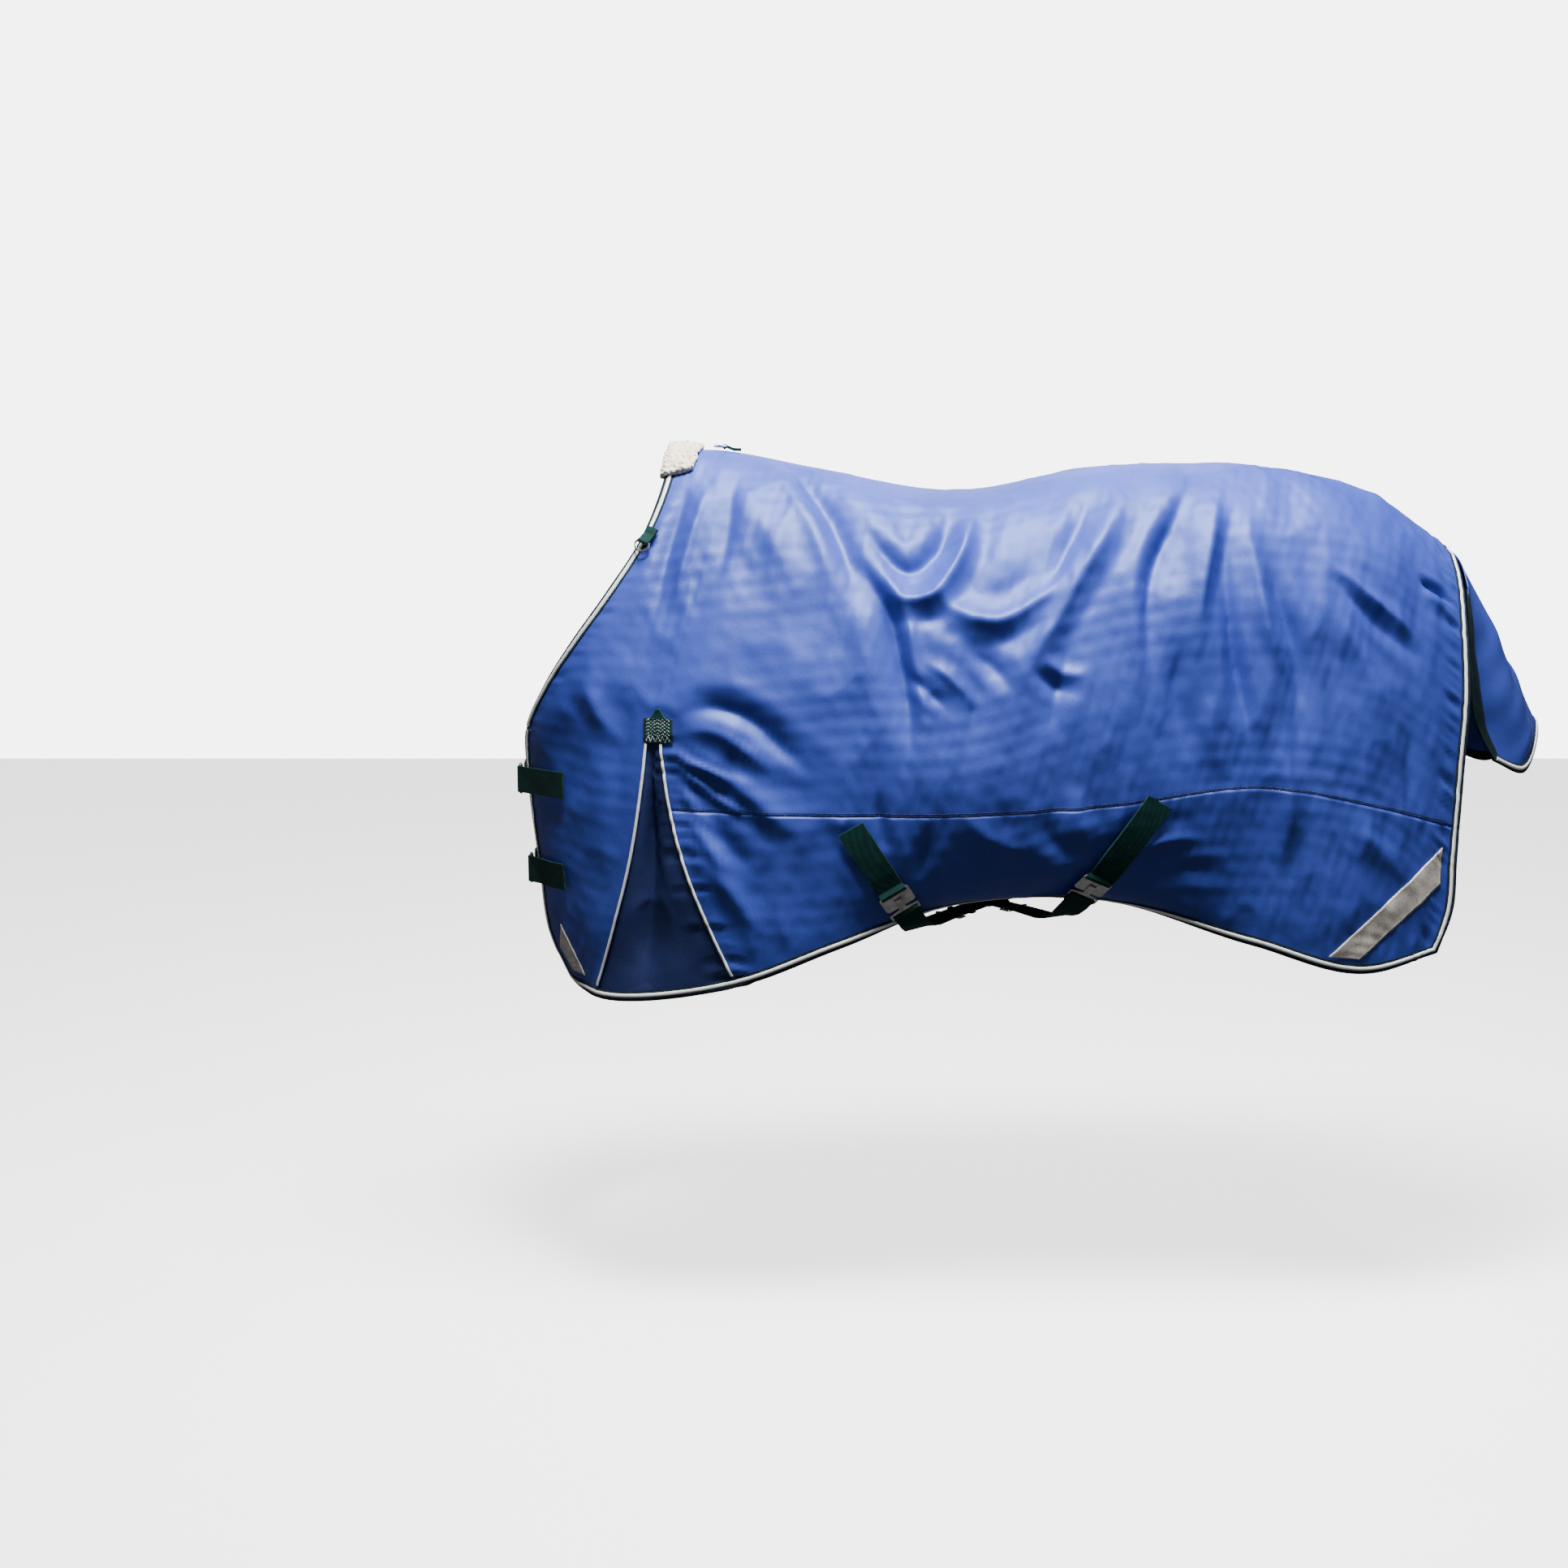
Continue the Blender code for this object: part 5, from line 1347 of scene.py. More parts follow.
@dataclass
class Gussets:
    """The folded wedges at the shoulders, with a piping down each edge and a sewn patch on top.

    Attributes:
        depth: How far the pleat falls behind the slit.
        patch_lift: Height of the patch's upper face above the cloth.
        piping: Width of the piping.
    """

    depth: float = 26 * MM
    patch_lift: float = 3.4 * MM
    piping: float = 5.5 * MM

    def build(self, cloths: dict[Side, Cloth], finishes: Finishes) -> list[Piece]:
        """Make both gussets.

        Args:
            cloths: The folded halves.
            finishes: The shared materials.

        Returns:
            The pieces.
        """
        made = []
        for side, cloth in cloths.items():
            word = side.name.lower()
            wedge = self._wedge(word, cloth)
            # Painted shade: the wedge gets a darker copy of the shell cloth for the shadow that falls in the
            # pleat.
            finishes.dress(wedge, PLEAT_SHADE_CLOTH)
            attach(wedge, ROOT)
            made.append(wedge)
            for number, inward, place in ((GUSSET_COLUMNS[0], -1, "front"), (GUSSET_COLUMNS[1], 1, "back")):
                edge = self._edging(f"gusset_cord_{place}_{word}", cloth, number, inward)
                finishes.dress(edge, CordPiping())
                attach(edge, ROOT)
                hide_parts(f"gusset_piping_{place}_{word}")
                made.append(edge)
            made += self._patch(word, cloth, finishes)
        return made

    def _wedge(self, word: str, cloth: Cloth) -> Piece:
        """The pleat itself: two flaps that meet in a valley."""
        columns = np.linspace(GUSSET_COLUMNS[0] - 0.02, GUSSET_COLUMNS[1] + 0.02, 30)
        levels = np.linspace(SLIT_TOP - 0.02, HEM_LEVEL, 90)
        wide, deep = np.meshgrid(columns, levels, indexing="ij")
        points, normals = cloth.at(wide.ravel(), deep.ravel())
        u = (wide - columns[0]) / (columns[-1] - columns[0])
        v = (deep - levels[0]) / (levels[-1] - levels[0])
        valley = -np.exp(-abs((u - 0.38) / 0.19) ** 1.4)
        room = np.minimum(1, 0.08 + 1.6 * v) * (1 - 0.85 * smooth_step(v, 0.82, 1.0))
        fall = np.minimum(self.depth * valley * room - 2.4 * MM, -2.2 * MM)
        points = (points + fall.reshape(-1, 1) * normals).reshape(*wide.shape, 3)
        piece = grid_piece(f"gusset_cloth_{word}", points[::-1] if cloth.side is Side.LEFT else points)
        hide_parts(f"gusset_{word}")
        return thicken(piece, 0.8 * MM)

    def _edging(self, name: str, cloth: Cloth, column: float, inward: int) -> Piece:
        """Piping down one edge of the slit, from the patch to the hem tape."""
        levels = np.linspace(SLIT_TOP + 0.03, HEM_LEVEL - 0.06, 120)
        line, normals = cloth.at(np.full(120, column), levels, 1.6 * MM)
        across = unit(np.cross(np.gradient(line, axis=0), normals)) * inward * cloth.side.value
        rings = round_rings(line + 2.5 * MM * across, normals, self.piping, 3.2 * MM, 10)
        return tube_piece(name, rings)

    def _patch(self, word: str, cloth: Cloth, finishes: Finishes) -> list[Piece]:
        """The square of webbing over the slit's top with its small point, and its stitches."""
        left, right, low, high, tip = -0.090, -0.037, -0.532, -0.487, -0.470
        middle = (left + right) / 2
        bottom, top = [(left, low), (right, low)], [(left, high), (right, high)]
        body = band(cloth, bottom, top, self.patch_lift, 19, 13)
        peak = band(cloth, [(middle - 0.016, high - 0.003), (middle + 0.016, high - 0.003)],
                    [(middle - 0.003, tip), (middle + 0.003, tip)], self.patch_lift + 0.5 * MM, 11, 9)
        outward = np.array([0, cloth.side.value, 0.0])
        made = []
        for name, points in ((f"gusset_webbing_{word}", body), (f"gusset_point_{word}", peak)):
            piece = thicken(grid_piece(name, facing(points, outward)), 1.8 * MM)
            finishes.dress(piece, STRAP)
            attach(piece, ROOT)
            made.append(piece)
        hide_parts(f"gusset_patch_{word}")
        rows = []
        for t in np.linspace(0, 1, 7):
            zigs = np.linspace(0.08, 0.92, 11)
            z = low + 0.004 + t * (high - low - 0.008)
            heights = [z + (0.0022 if k % 2 else -0.0022) for k in range(len(zigs))]
            places = [cloth.find(left + s * (right - left), height) for s, height in zip(zigs, heights)]
            line, normals = cloth.at(*np.array(places).T, self.patch_lift + 0.2 * MM)
            rows.append((line, normals))
        stitches = Stitching().sew(f"gusset_stitches_{word}", rows)
        finishes.dress(stitches, PALE_THREAD)
        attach(stitches, ROOT)
        return [*made, stitches]


@dataclass(frozen=True)
class EdgeRun:
    """A stretch of an edge: the edge itself, a line one tape width inside it, and both lines' normals."""

    edge: np.ndarray
    edge_up: np.ndarray
    inset: np.ndarray
    inset_up: np.ndarray

    def part(self, which: slice) -> "EdgeRun":
        """A shorter stretch of the same run."""
        return EdgeRun(self.edge[which], self.edge_up[which], self.inset[which], self.inset_up[which])


@dataclass
class Bindings:
    """Dark tape folded over every edge, with white piping along its middle and two rows of stitches.

    Attributes:
        width: Width of tape that shows on the outer face.
        thickness: Thickness of the tape.
        clear: Gap between the cloth and the tape.
        depth: Thickness of the cloth that the tape folds round.
        cord: Width and height of the piping.
    """

    width: float = 17 * MM
    thickness: float = 1.0 * MM
    clear: float = 0.5 * MM
    depth: float = EDGE_DEPTH
    cord: Pair = (7.2 * MM, 3.4 * MM)

    def build(self, cloths: dict[Side, Cloth], finishes: Finishes) -> list[Piece]:
        """Bind the neck, front edges, hem and rear edges of both halves.

        Args:
            cloths: The folded halves.
            finishes: The shared materials.

        Returns:
            The pieces.
        """
        made = []
        for side, cloth in cloths.items():
            word = side.name.lower()
            for part, run in (("neck", self._neck(cloth)), ("body", self._round_body(cloth))):
                nodes = (f"{part}_binding_{word}", f"{part}_piping_{word}")
                made += self.bind(f"{part}_{word}", run, finishes, nodes)
        return made

    def bind(
        self, name: str, run: EdgeRun, finishes: Finishes, stands_for: tuple[str, str], body: str = ROOT,
        corded: slice = slice(None),
    ) -> list[Piece]:
        """Tape, piping and stitches along one run.

        Args:
            name: Ending of the new pieces' names.
            run: The edge.
            finishes: The shared materials.
            stands_for: The frame's nodes that tape and piping replace.
            body: The body they ride on.
            corded: The stretch of the run that has piping.

        Returns:
            The pieces.
        """
        tape = self._tape(f"tape_{name}", run)
        cord = self._cord(f"cord_{name}", run.part(corded))
        rows = [self._row(run, share) for share in (0.14, 0.86)]
        stitches = Stitching(3.4 * MM, 4.8 * MM, 0.8 * MM).sew(f"stitches_{name}", rows)
        finishes.dress(tape, TAPE)
        finishes.dress(cord, CordPiping())
        finishes.dress(stitches, DARK_THREAD)
        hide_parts(stands_for[0])
        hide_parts(stands_for[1])
        for piece in (tape, cord, stitches):
            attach(piece, body)
        return [tape, cord, stitches]

    def _inset_columns(self, cloth: Cloth, levels: np.ndarray, last: bool) -> np.ndarray:
        """Column numbers one tape width inside the front or the rear edge."""
        base = REAR_COLUMN if last else 0.0
        step = -0.3 if last else 0.3
        edge = cloth.at(np.full(len(levels), base), levels)[0]
        inner = cloth.at(np.full(len(levels), base + step), levels)[0]
        return base + step * self.width / np.linalg.norm(inner - edge, axis=1)

    def _inset_levels(self, cloth: Cloth, columns: np.ndarray) -> np.ndarray:
        """Level numbers one tape width above the hem."""
        edge = cloth.at(columns, np.full(len(columns), HEM_LEVEL))[0]
        inner = cloth.at(columns, np.full(len(columns), HEM_LEVEL - 0.2))[0]
        return HEM_LEVEL - 0.2 * self.width / np.linalg.norm(inner - edge, axis=1)

    def _neck(self, cloth: Cloth) -> EdgeRun:
        """From the wither pad down to the height of the gusset's top."""
        levels = np.linspace(0.135, 0.985, 190)
        inset = self._inset_columns(cloth, levels, False)
        return EdgeRun(*cloth.at(0 * levels, levels), *cloth.at(inset, levels))

    def _round_body(self, cloth: Cloth) -> EdgeRun:
        """Down the front edge, along the hem and up the rear edge to the dock."""
        down, up = np.linspace(1.0, 2.92, 150), np.linspace(2.92, 0.012, 250)
        along = np.concatenate([np.linspace(0.25, 3, 60), np.linspace(3.02, 9.85, 420)])
        hem_level = self._inset_levels(cloth, along)
        corner = float(self._inset_levels(cloth, np.array([0.2]))[0])
        far = float(self._inset_levels(cloth, np.array([9.9]))[0])
        down, up = down[down < corner], up[up < far]
        parts = [
            (0 * down, down, self._inset_columns(cloth, down, False), down),
            (along, np.full(len(along), HEM_LEVEL), along, hem_level),
            (np.full(len(up), REAR_COLUMN), up, self._inset_columns(cloth, up, True), up),
        ]
        first = self._inset_columns(cloth, np.array([corner]), False)
        last = self._inset_columns(cloth, np.array([far]), True)
        bend = ([0.0], [HEM_LEVEL], first, [corner])
        end = ([REAR_COLUMN], [HEM_LEVEL], last, [far])
        keep = (along > first[0] + 0.02) & (along < last[0] - 0.02)
        parts[1] = tuple(values[keep] for values in parts[1])
        rows = [np.concatenate(values) for values in zip(parts[0], bend, parts[1], end, parts[2])]
        return EdgeRun(*cloth.at(rows[0], rows[1]), *cloth.at(rows[2], rows[3]))

    def _tape(self, name: str, run: EdgeRun) -> Piece:
        """The folded tape: a flat U round the edge."""
        past = unit(run.edge - run.inset)
        low, high = self.clear, self.clear + self.thickness
        rings = []
        for over, under in ((high, high), (low, low)):
            middle = (run.inset + run.edge) / 2 + over * unit(run.edge_up + run.inset_up)
            section = [run.inset + over * run.inset_up, middle, run.edge + over * run.edge_up]
            for angle in (0.25, 0.5, 0.75):
                turn = math.pi * angle
                radius = self.depth / 2 + over
                centre = run.edge - self.depth / 2 * run.edge_up
                section.append(centre + radius * (math.cos(turn) * run.edge_up + 0.7 * math.sin(turn) * past))
            section.append(run.edge - (self.depth + under) * run.edge_up)
            section.append(run.inset - (self.depth + under) * run.inset_up)
            rings.append(section)
        ring = rings[0] + rings[1][::-1]
        return tube_piece(name, np.stack(ring, axis=1), 55.0)

    def _cord(self, name: str, run: EdgeRun) -> Piece:
        """The white piping along the tape's middle."""
        up = unit(run.edge_up + run.inset_up)
        line = 0.5 * run.edge + 0.5 * run.inset + (self.clear + self.thickness + 0.1 * MM) * up
        return tube_piece(name, round_rings(line, up, self.cord[0], self.cord[1], 10))

    def _row(self, run: EdgeRun, share: float) -> tuple[np.ndarray, np.ndarray]:
        """A row of stitches at a share of the tape's width from its inner edge."""
        up = unit((1 - share) * run.inset_up + share * run.edge_up)
        return run.inset + share * (run.edge - run.inset) + (self.clear + self.thickness) * up, up


@dataclass
class WitherPad:
    """Fleece folded over the neck edge across the withers.

    Attributes:
        length: How far it lies over the shell.
        pile: Thickness of the fleece.
        clear: Height of its lower face above the shell.
        reach: Level at which it ends on each half.
    """

    length: float = 60 * MM
    pile: float = 9 * MM
    clear: float = 3.2 * MM
    reach: float = 0.145

    def build(self, cloths: dict[Side, Cloth], finishes: Finishes) -> Piece:
        """Make the pad and push its pile into curls.

        Args:
            cloths: The folded halves.
            finishes: The shared materials.

        Returns:
            The pad.
        """
        rows = []
        for side in (Side.LEFT, Side.RIGHT):
            levels = np.linspace(0.0, self.reach, 46)
            if side is Side.LEFT:
                levels = levels[:0:-1]
            rows += [(cloths[side], level) for level in levels]
        rings = np.array([self._ring(cloth, level) for cloth, level in rows])
        rings[0], rings[-1] = (0.75 * ends + 0.25 * ends.mean(axis=0) for ends in (rings[0], rings[-1]))
        piece = tube_piece("fleece_pad", rings, 180.0)
        self._curl(piece)
        finishes.dress(piece, Fleece())
        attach(piece, ROOT)
        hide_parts("wither_pad")
        return piece

    def _ring(self, cloth: Cloth, level: float) -> np.ndarray:
        """Section round the neck edge at one level, a folded strip with rounded ends."""
        spread = np.linspace(0, 1, 18)
        base = cloth.at(np.array([0.0, 1.0]), np.array([level, level]))[0]
        columns = spread * self.length / np.linalg.norm(base[1] - base[0])
        points, normals = cloth.at(np.minimum(columns, 2.4), np.full(18, level))
        past = unit(points[0] - points[1])
        low, high = self.clear, self.clear + self.pile
        depth = EDGE_DEPTH
        back = zip(points[::-1], normals[::-1], spread[::-1])
        over = [p + (high * (1 - 0.25 * t**6)) * n for p, n, t in back]
        centre = points[0] - depth / 2 * normals[0]
        nose = []
        for turn in np.linspace(0.15, 0.85, 9) * math.pi:
            way = math.cos(turn) * normals[0] + 0.75 * math.sin(turn) * past
            nose.append(centre + (depth / 2 + high) * way)
        below = [p - (depth + high) * n for p, n in zip(points, normals)]
        inner = [p - (depth + low) * n for p, n in zip(points[::-1], normals[::-1])]
        throat = []
        for turn in np.linspace(0.85, 0.15, 7) * math.pi:
            way = math.cos(turn) * normals[0] + 0.75 * math.sin(turn) * past
            throat.append(centre + (depth / 2 + low) * way)
        lower = [p + low * n for p, n in zip(points, normals)]
        return np.array(over + nose + below + inner + throat + lower)

    @staticmethod
    def _curl(piece: Piece) -> None:
        """Subdivide the pad and push its surface into curls of pile."""
        finer = piece.modifiers.new("finer", "SUBSURF")
        finer.levels = finer.render_levels = 1
        finish_modifiers(piece)
        mesh = piece.data
        count = len(mesh.vertices)
        points, normals = np.empty(count * 3), np.empty(count * 3)
        mesh.vertices.foreach_get("co", points)
        mesh.vertex_normals.foreach_get("vector", normals)
        points, normals = points.reshape(-1, 3), normals.reshape(-1, 3)
        chance = np.random.default_rng(5)
        height = np.zeros(count)
        for _ in range(60):
            direction = unit(chance.normal(size=3))
            turns = 2 * math.pi * (points @ direction) / chance.uniform(0.005, 0.016)
            height += np.sin(turns + chance.uniform(0, 6.3))
        height = height / math.sqrt(30)
        points = points + (1.0 * MM * height + 0.5 * MM * chance.normal(size=count))[:, None] * normals
        mesh.vertices.foreach_set("co", points.reshape(-1))
        mesh.update()
        mesh.shade_smooth()


@dataclass
class TailFlap:
    """The flap over the tail, bound round its three free edges and piped along the bottom one.

    Attributes:
        steps: Grid cells across and down.
        thickness: Its thickness.
    """

    steps: tuple[int, int] = (72, 96)
    thickness: float = 2.0 * MM

    def build(self, finishes: Finishes, bindings: Bindings) -> list[Piece]:
        """Make the flap, its tape and its piping.

        Args:
            finishes: The shared materials.
            bindings: How edges are bound.

        Returns:
            The pieces.
        """
        points, normals = self._surface()
        cloth = thicken(grid_piece("tail_flap_cloth", points[::-1]), self.thickness)
        finishes.dress(cloth, SHELL_CLOTH)
        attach(cloth, "tail_flap")
        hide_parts("tail_flap")
        slim = Bindings(width=bindings.width, depth=self.thickness + 0.6 * MM)
        run, bottom = self._edge(points, normals, slim.width)
        nodes = ("tail_flap_binding", "tail_flap_piping")
        trims = slim.bind("tail_flap", run, finishes, nodes, "tail_flap", bottom)
        return [cloth, *trims]

    def _surface(self) -> tuple[np.ndarray, np.ndarray]:
        """The flap's outer face with two soft folds, and its normals."""
        sides = [(FLAP_SIDE, -1), (FLAP_MID, -1), (FLAP_CENTRE, 1), (FLAP_MID, 1), (FLAP_SIDE, 1)]
        lines = []
        for rib, sign in sides:
            line = through(np.array(rib, float), np.linspace(0, len(rib) - 1, 10 * (len(rib) - 1) + 1))
            line = line * (1, sign, 1)
            along = travelled(line)
            places = np.linspace(0, along[-1], self.steps[1] + 1)
            lines.append(np.array([np.interp(places, along, line[:, k]) for k in range(3)]).T)
        points = through(np.array(lines), np.linspace(0, 4, self.steps[0] + 1))
        normals = -normals_of(points)
        across, down = points.shape[:2]
        u, v = np.meshgrid(np.linspace(-1, 1, across), np.linspace(0, 1, down), indexing="ij")
        free = smooth_step(v, 0.05, 0.4) * smooth_step(1 - v, 0.0, 0.12) * smooth_step(1 - abs(u), 0.0, 0.12)
        folds = 6 * MM * np.exp(-(((u + 0.45 - 0.1 * v) / 0.13) ** 2))
        folds = folds - 5 * MM * np.exp(-(((u - 0.3 + 0.15 * v) / 0.16) ** 2))
        folds += 1.5 * MM * waves(np.stack([u * 0.14, v * 0.35], 2), 7, (0.05, 0.12))
        points = points + (free * folds)[..., None] * normals
        return points, -normals_of(points)

    @staticmethod
    def _edge(points: np.ndarray, normals: np.ndarray, width: float) -> tuple[EdgeRun, slice]:
        """The run down one side, along the bottom and up the other side, and its bottom stretch."""
        wide = round(width / np.linalg.norm(points[1, 40] - points[0, 40]))
        deep = round(width / np.linalg.norm(points[30, -1] - points[30, -2]))
        last_column, last_row = points.shape[0] - 1, points.shape[1] - 1
        path = [((0, r), (wide, r)) for r in range(4, last_row - deep)]
        side_stations = len(path)
        path += [((0, last_row), (wide, last_row - deep))]
        path += [((c, last_row), (c, last_row - deep)) for c in range(wide + 1, last_column - wide)]
        path += [((last_column, last_row), (last_column - wide, last_row - deep))]
        path += [((last_column, r), (last_column - wide, r)) for r in range(last_row - deep - 1, 3, -1)]
        outer, inner = (tuple(np.array(places).T) for places in zip(*path))
        run = EdgeRun(points[outer], normals[outer], points[inner], normals[inner])
        return run, slice(side_stations, len(path) - side_stations)


@dataclass
class ReflectiveTapes:
    """Grey tape sewn across each rear corner and each front corner.

    Attributes:
        rear: Its two short edges on each rear corner, by (x, z).
        chest: The same on each front corner.
        lift: Height of its upper face above the cloth.
    """

    rear: tuple[tuple[Pair, Pair], tuple[Pair, Pair]] = (
        ((1.378, -0.728), (1.376, -0.798)),
        ((1.163, -0.925), (1.224, -0.932)),
    )
    chest: tuple[tuple[Pair, Pair], tuple[Pair, Pair]] = (
        ((-0.262, -0.895), (-0.266, -0.944)),
        ((-0.212, -0.987), (-0.238, -0.984)),
    )
    lift: float = 2.2 * MM

    def build(self, cloths: dict[Side, Cloth], finishes: Finishes) -> list[Piece]:
        """Lay the four tapes.

        Args:
            cloths: The folded halves.
            finishes: The shared materials.

        Returns:
            The pieces.
        """
        made = []
        for side, cloth in cloths.items():
            word = side.name.lower()
            behind = 0.0 if side is Side.LEFT else 0.018
            for place, (start, end), steps in (("rear", self.rear, 90), ("chest", self.chest, 40)):
                shift = behind if place == "chest" else 0.0
                start, end = ([(x + shift, z) for x, z in edge] for edge in (start, end))
                points = band(cloth, start, end, self.lift, steps, 15)
                across, along = points.shape[:2]
                outward = np.array([0.0, side.value, 0.0])
                flat = np.meshgrid(np.linspace(0, 0.05, across), np.linspace(0, 0.3, along), indexing="ij")
                ripple = waves(np.stack(flat, 2), 3, (0.03, 0.09))
                points = points + (0.8 * MM * ripple)[..., None] * outward
                tape = grid_piece(f"reflective_tape_{place}_{word}", facing(points, outward))
                piece = thicken(tape, 1.2 * MM)
                finishes.dress(piece, ReflectiveTape())
                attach(piece, ROOT)
                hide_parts(f"reflective_{place}_{word}")
                ups = np.tile(outward, (along, 1))
                rows = [(edge, ups) for edge in (points[1], points[-2])]
                sewing = Stitching(3.2 * MM, 4.4 * MM, 0.8 * MM)
                stitches = sewing.sew(f"reflective_stitches_{place}_{word}", rows)
                finishes.dress(stitches, PALE_THREAD)
                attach(stitches, ROOT)
                made += [piece, stitches]
        return made


@dataclass
class SeamStitches:
    """Two rows of stitches above each side seam.

    Attributes:
        rows: How far above the seam each row lies, in level numbers.
        stations: How many points each row follows.
    """

    rows: Pair = (0.055, 0.025)
    stations: int = 500

    def build(self, cloths: dict[Side, Cloth], finishes: Finishes) -> list[Piece]:
        """Sew both halves.

        Args:
            cloths: The folded halves.
            finishes: The shared materials.

        Returns:
            The pieces.
        """
        made = []
        for side, cloth in cloths.items():
            rows = []
            columns = np.linspace(4.06, 9.8, self.stations)
            for above in self.rows:
                levels = np.full(self.stations, SEAM_LEVEL - above)
                rows.append(cloth.at(columns, levels, 0.2 * MM))
            piece = Stitching().sew(f"seam_stitches_{side.name.lower()}", rows)
            finishes.dress(piece, DARK_THREAD)
            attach(piece, ROOT)
            made.append(piece)
        return made


@dataclass
class Fittings:
    """Straps, rings, hooks, adjusters and keepers: the frame's own pieces with detailed finishes.

    Attributes:
        metal: Beginnings of the metal nodes' names.
        straps: Beginnings of the webbing nodes' names.
    """

    metal: tuple[str, ...] = (
        "neck_ring_", "chest_ring_", "chest_snap_", "belly_clip_", "chest_adjuster_", "belly_adjuster_",
    )
    straps: tuple[str, ...] = (
        "neck_chape_", "chest_chape_", "chest_strap_", "belly_chape_", "belly_strap_",
    )

    def build(self, nodes: dict[str, Piece], finishes: Finishes) -> None:
        """Dress every node of the frame that stays in view.

        Args:
            nodes: The frame's nodes by name.
            finishes: The shared materials.
        """
        for name, node in nodes.items():
            if name.startswith(self.metal):
                finishes.dress(node, Nickel())
            elif name.startswith(self.straps):
                finishes.dress(node, self._strap_finish(name, node))
            elif name.startswith("belly_keeper_"):
                finishes.dress(node, Rubber())

    @staticmethod
    def _strap_finish(name: str, node: Piece) -> Webbing:
        """Webbing whose ribs lie across the strap's own longest direction."""
        points = np.array([v.co for v in node.data.vertices])
        spread = np.linalg.svd(points - points.mean(axis=0), full_matrices=False)[2]
        yaw = math.atan2(spread[0][1], spread[0][0])
        pitch = -math.asin(max(-1.0, min(1.0, spread[0][2])))
        return Webbing(f"webbing_{name}", coordinates="Object", turn=(0.0, pitch, yaw))


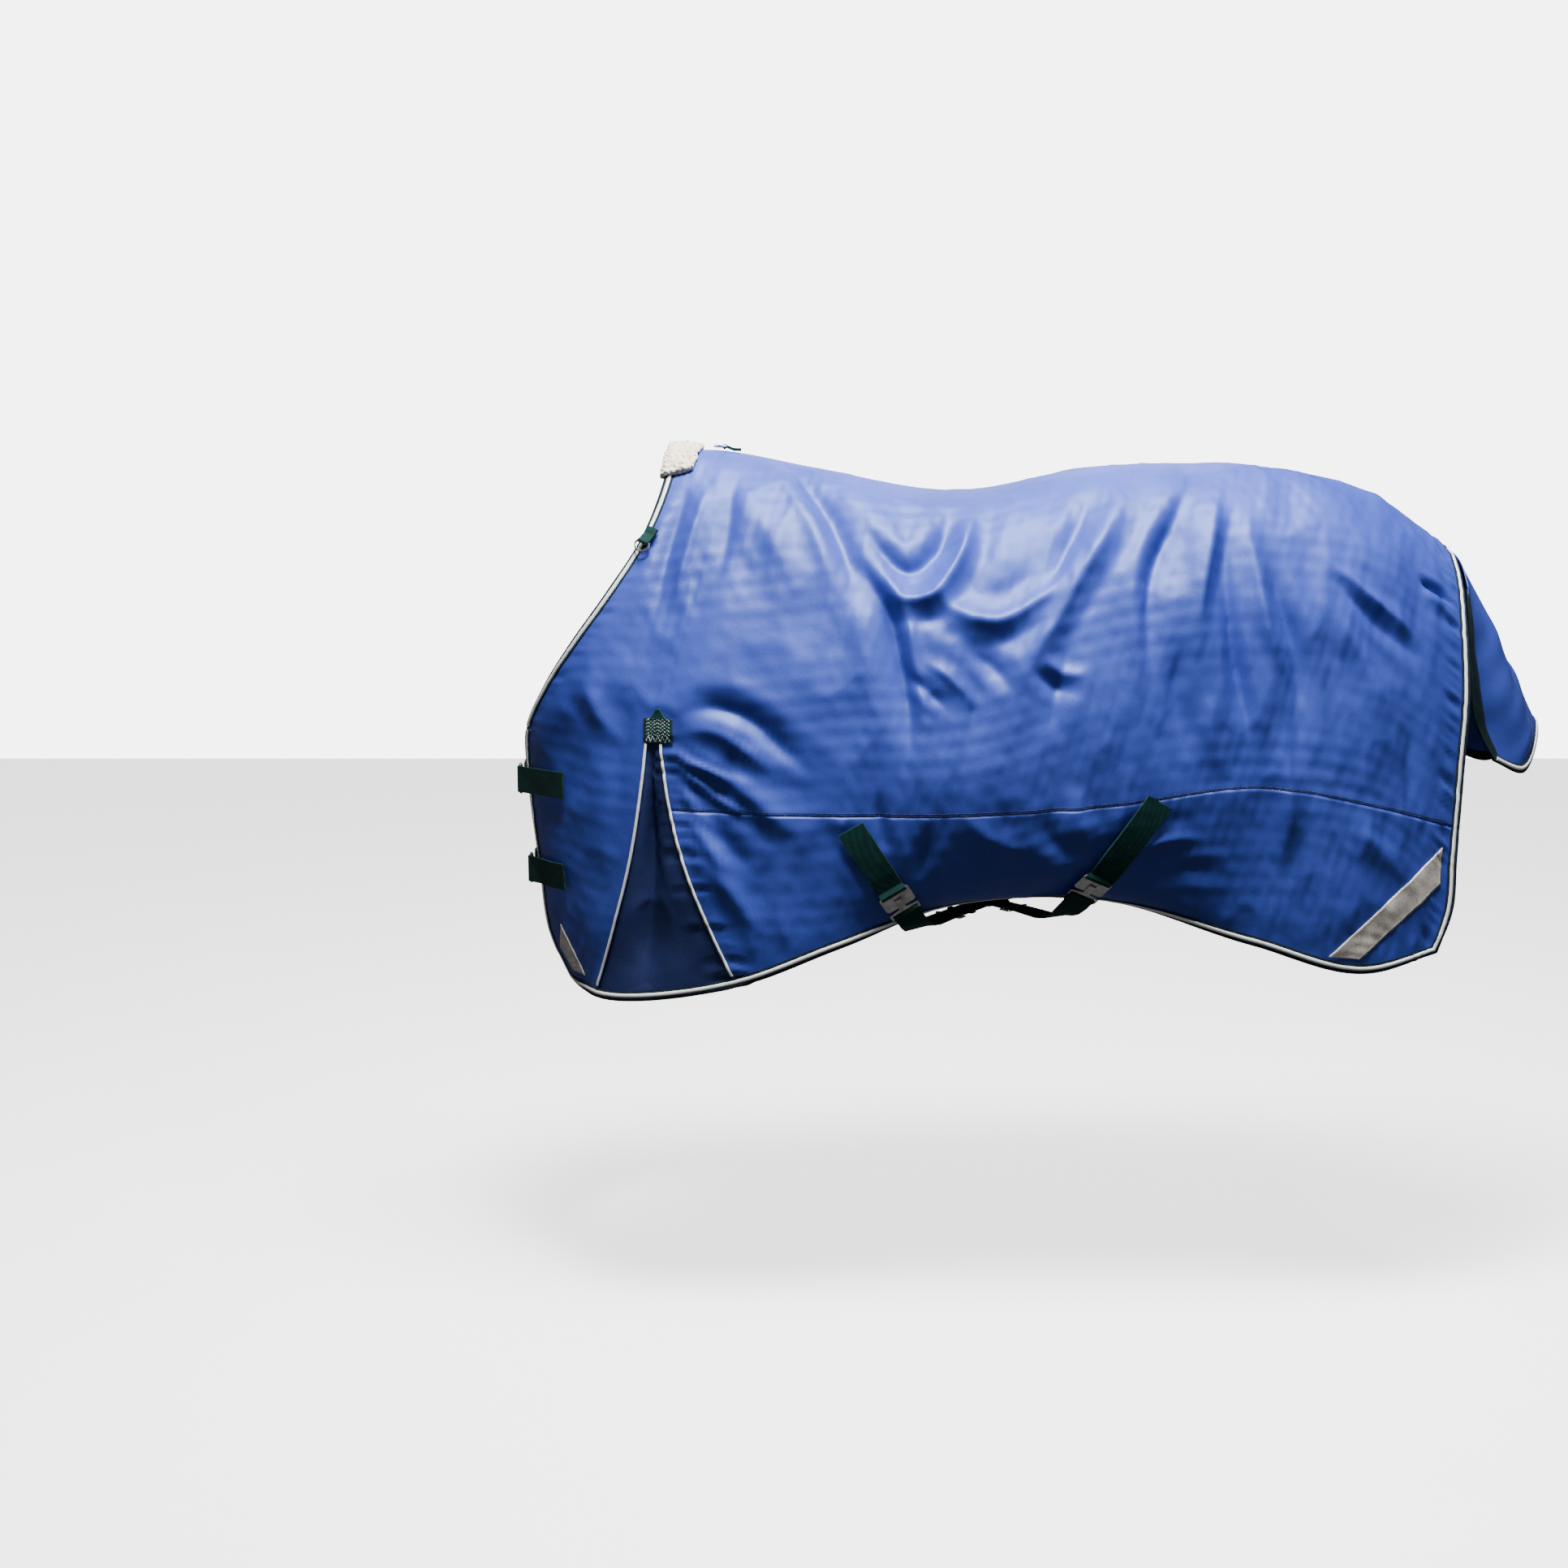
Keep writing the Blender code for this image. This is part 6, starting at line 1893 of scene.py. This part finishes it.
@dataclass
class Studio:
    """Camera, floor and soft lights.

    Attributes:
        eye: The camera's place.
        pitch: How far it looks down, in degrees.
        lens: Focal length in millimetres on a 36 mm sensor.
        ground: Height of the floor.
    """

    eye: Triple = (0.164, -3.490, -0.1448)
    pitch: float = 8.13
    lens: float = 41.2
    ground: float = -1.62

    def build(self) -> None:
        """Set up the camera, the floor, the backdrop's light and four soft lamps."""
        scene = bpy.context.scene
        camera = bpy.data.cameras.new("camera")
        camera.lens, camera.sensor_width = self.lens, 36
        camera.clip_start, camera.clip_end = 0.05, 60
        holder = bpy.data.objects.new("camera", camera)
        holder.location = self.eye
        holder.rotation_euler = (math.radians(90 - self.pitch), 0, 0)
        scene.collection.objects.link(holder)
        scene.camera = holder
        self._floor()
        self._world(scene)
        self._lamp("key", (0.15, -1.05, 2.3), (0.45, 0.0, -0.3), 0.9, 290, (1.0, 0.98, 0.95))
        self._lamp("top", (1.15, -0.75, 2.2), (1.0, 0.0, -0.3), 0.9, 150, (1.0, 0.99, 0.97))
        self._lamp("fill", (3.2, -2.6, 0.8), (0.6, 0.0, -0.5), 2.4, 5, (0.92, 0.96, 1.0))
        self._lamp("rim", (0.8, 3.0, 2.2), (0.6, 0.0, -0.3), 2.4, 50, (1.0, 1.0, 1.0))

    def _floor(self) -> None:
        """A pale floor below the rug, bright by itself so that it throws no light back up."""
        deselect()
        bpy.ops.mesh.primitive_plane_add(size=16, location=(0.6, 0, self.ground))
        floor = bpy.context.object
        floor.name = "floor"
        bpy.ops.object.transform_apply(location=True)
        white = (1.0, 1.0, 1.0, 1.0)
        graph = Graph("floor", (0.90, 0.90, 0.89), 0.8, Emission_Color=white, Emission_Strength=2.2)
        cloudy = graph.noise(graph.place("Object"), 2.0, 4.0)
        graph.tint(cloudy, [(0.3, (0.88, 0.88, 0.87)), (0.7, (0.93, 0.93, 0.92))])
        floor.data.materials.append(graph.material)
        floor.visible_diffuse = floor.visible_glossy = False

    @staticmethod
    def _world(scene: bpy.types.Scene) -> None:
        """A white backdrop for the camera, which lights the rug only softly."""
        world = bpy.data.worlds.new("studio")
        world.use_nodes = True
        nodes, links = world.node_tree.nodes, world.node_tree.links
        ambient, backdrop = nodes["Background"], nodes.new("ShaderNodeBackground")
        for background, strength in ((ambient, 0.13), (backdrop, 6.0)):
            background.inputs["Color"].default_value = (0.96, 0.97, 1.0, 1)
            background.inputs["Strength"].default_value = strength
        ray, mix = nodes.new("ShaderNodeLightPath"), nodes.new("ShaderNodeMixShader")
        links.new(ray.outputs["Is Camera Ray"], mix.inputs[0])
        links.new(ambient.outputs[0], mix.inputs[1])
        links.new(backdrop.outputs[0], mix.inputs[2])
        links.new(mix.outputs[0], nodes["World Output"].inputs["Surface"])
        scene.world = world

    @staticmethod
    def _lamp(name: str, place: Triple, target: Triple, size: float, power: float, colour: Triple) -> None:
        """A square soft lamp that faces a target."""
        light = bpy.data.lights.new(name, "AREA")
        light.size, light.energy, light.color = size, power, colour
        holder = bpy.data.objects.new(name, light)
        holder.location = place
        holder.rotation_euler = (Vector(target) - Vector(place)).to_track_quat("-Z", "Y").to_euler()
        bpy.context.scene.collection.objects.link(holder)


def main() -> None:
    """Build the rug's looks in order, and report each piece."""
    logging.basicConfig(level=logging.INFO, format="%(name)s: %(message)s")
    Studio().build()
    finishes, drape, bindings = Finishes(), Drape(), Bindings()
    cloths = {side: drape.make(side) for side in Side}
    made = Panels().build(cloths, finishes)
    made += Lining().build(cloths, finishes)
    made += Gussets().build(cloths, finishes)
    made += bindings.build(cloths, finishes)
    made.append(WitherPad().build(cloths, finishes))
    made += TailFlap().build(finishes, bindings)
    made += ReflectiveTapes().build(cloths, finishes)
    made += SeamStitches().build(cloths, finishes)
    Fittings().build(frame["nodes"], finishes)
    for piece in made:
        LOG.info("%s: %d faces", piece.name, len(piece.data.polygons))


if __name__ == "__main__":
    main()
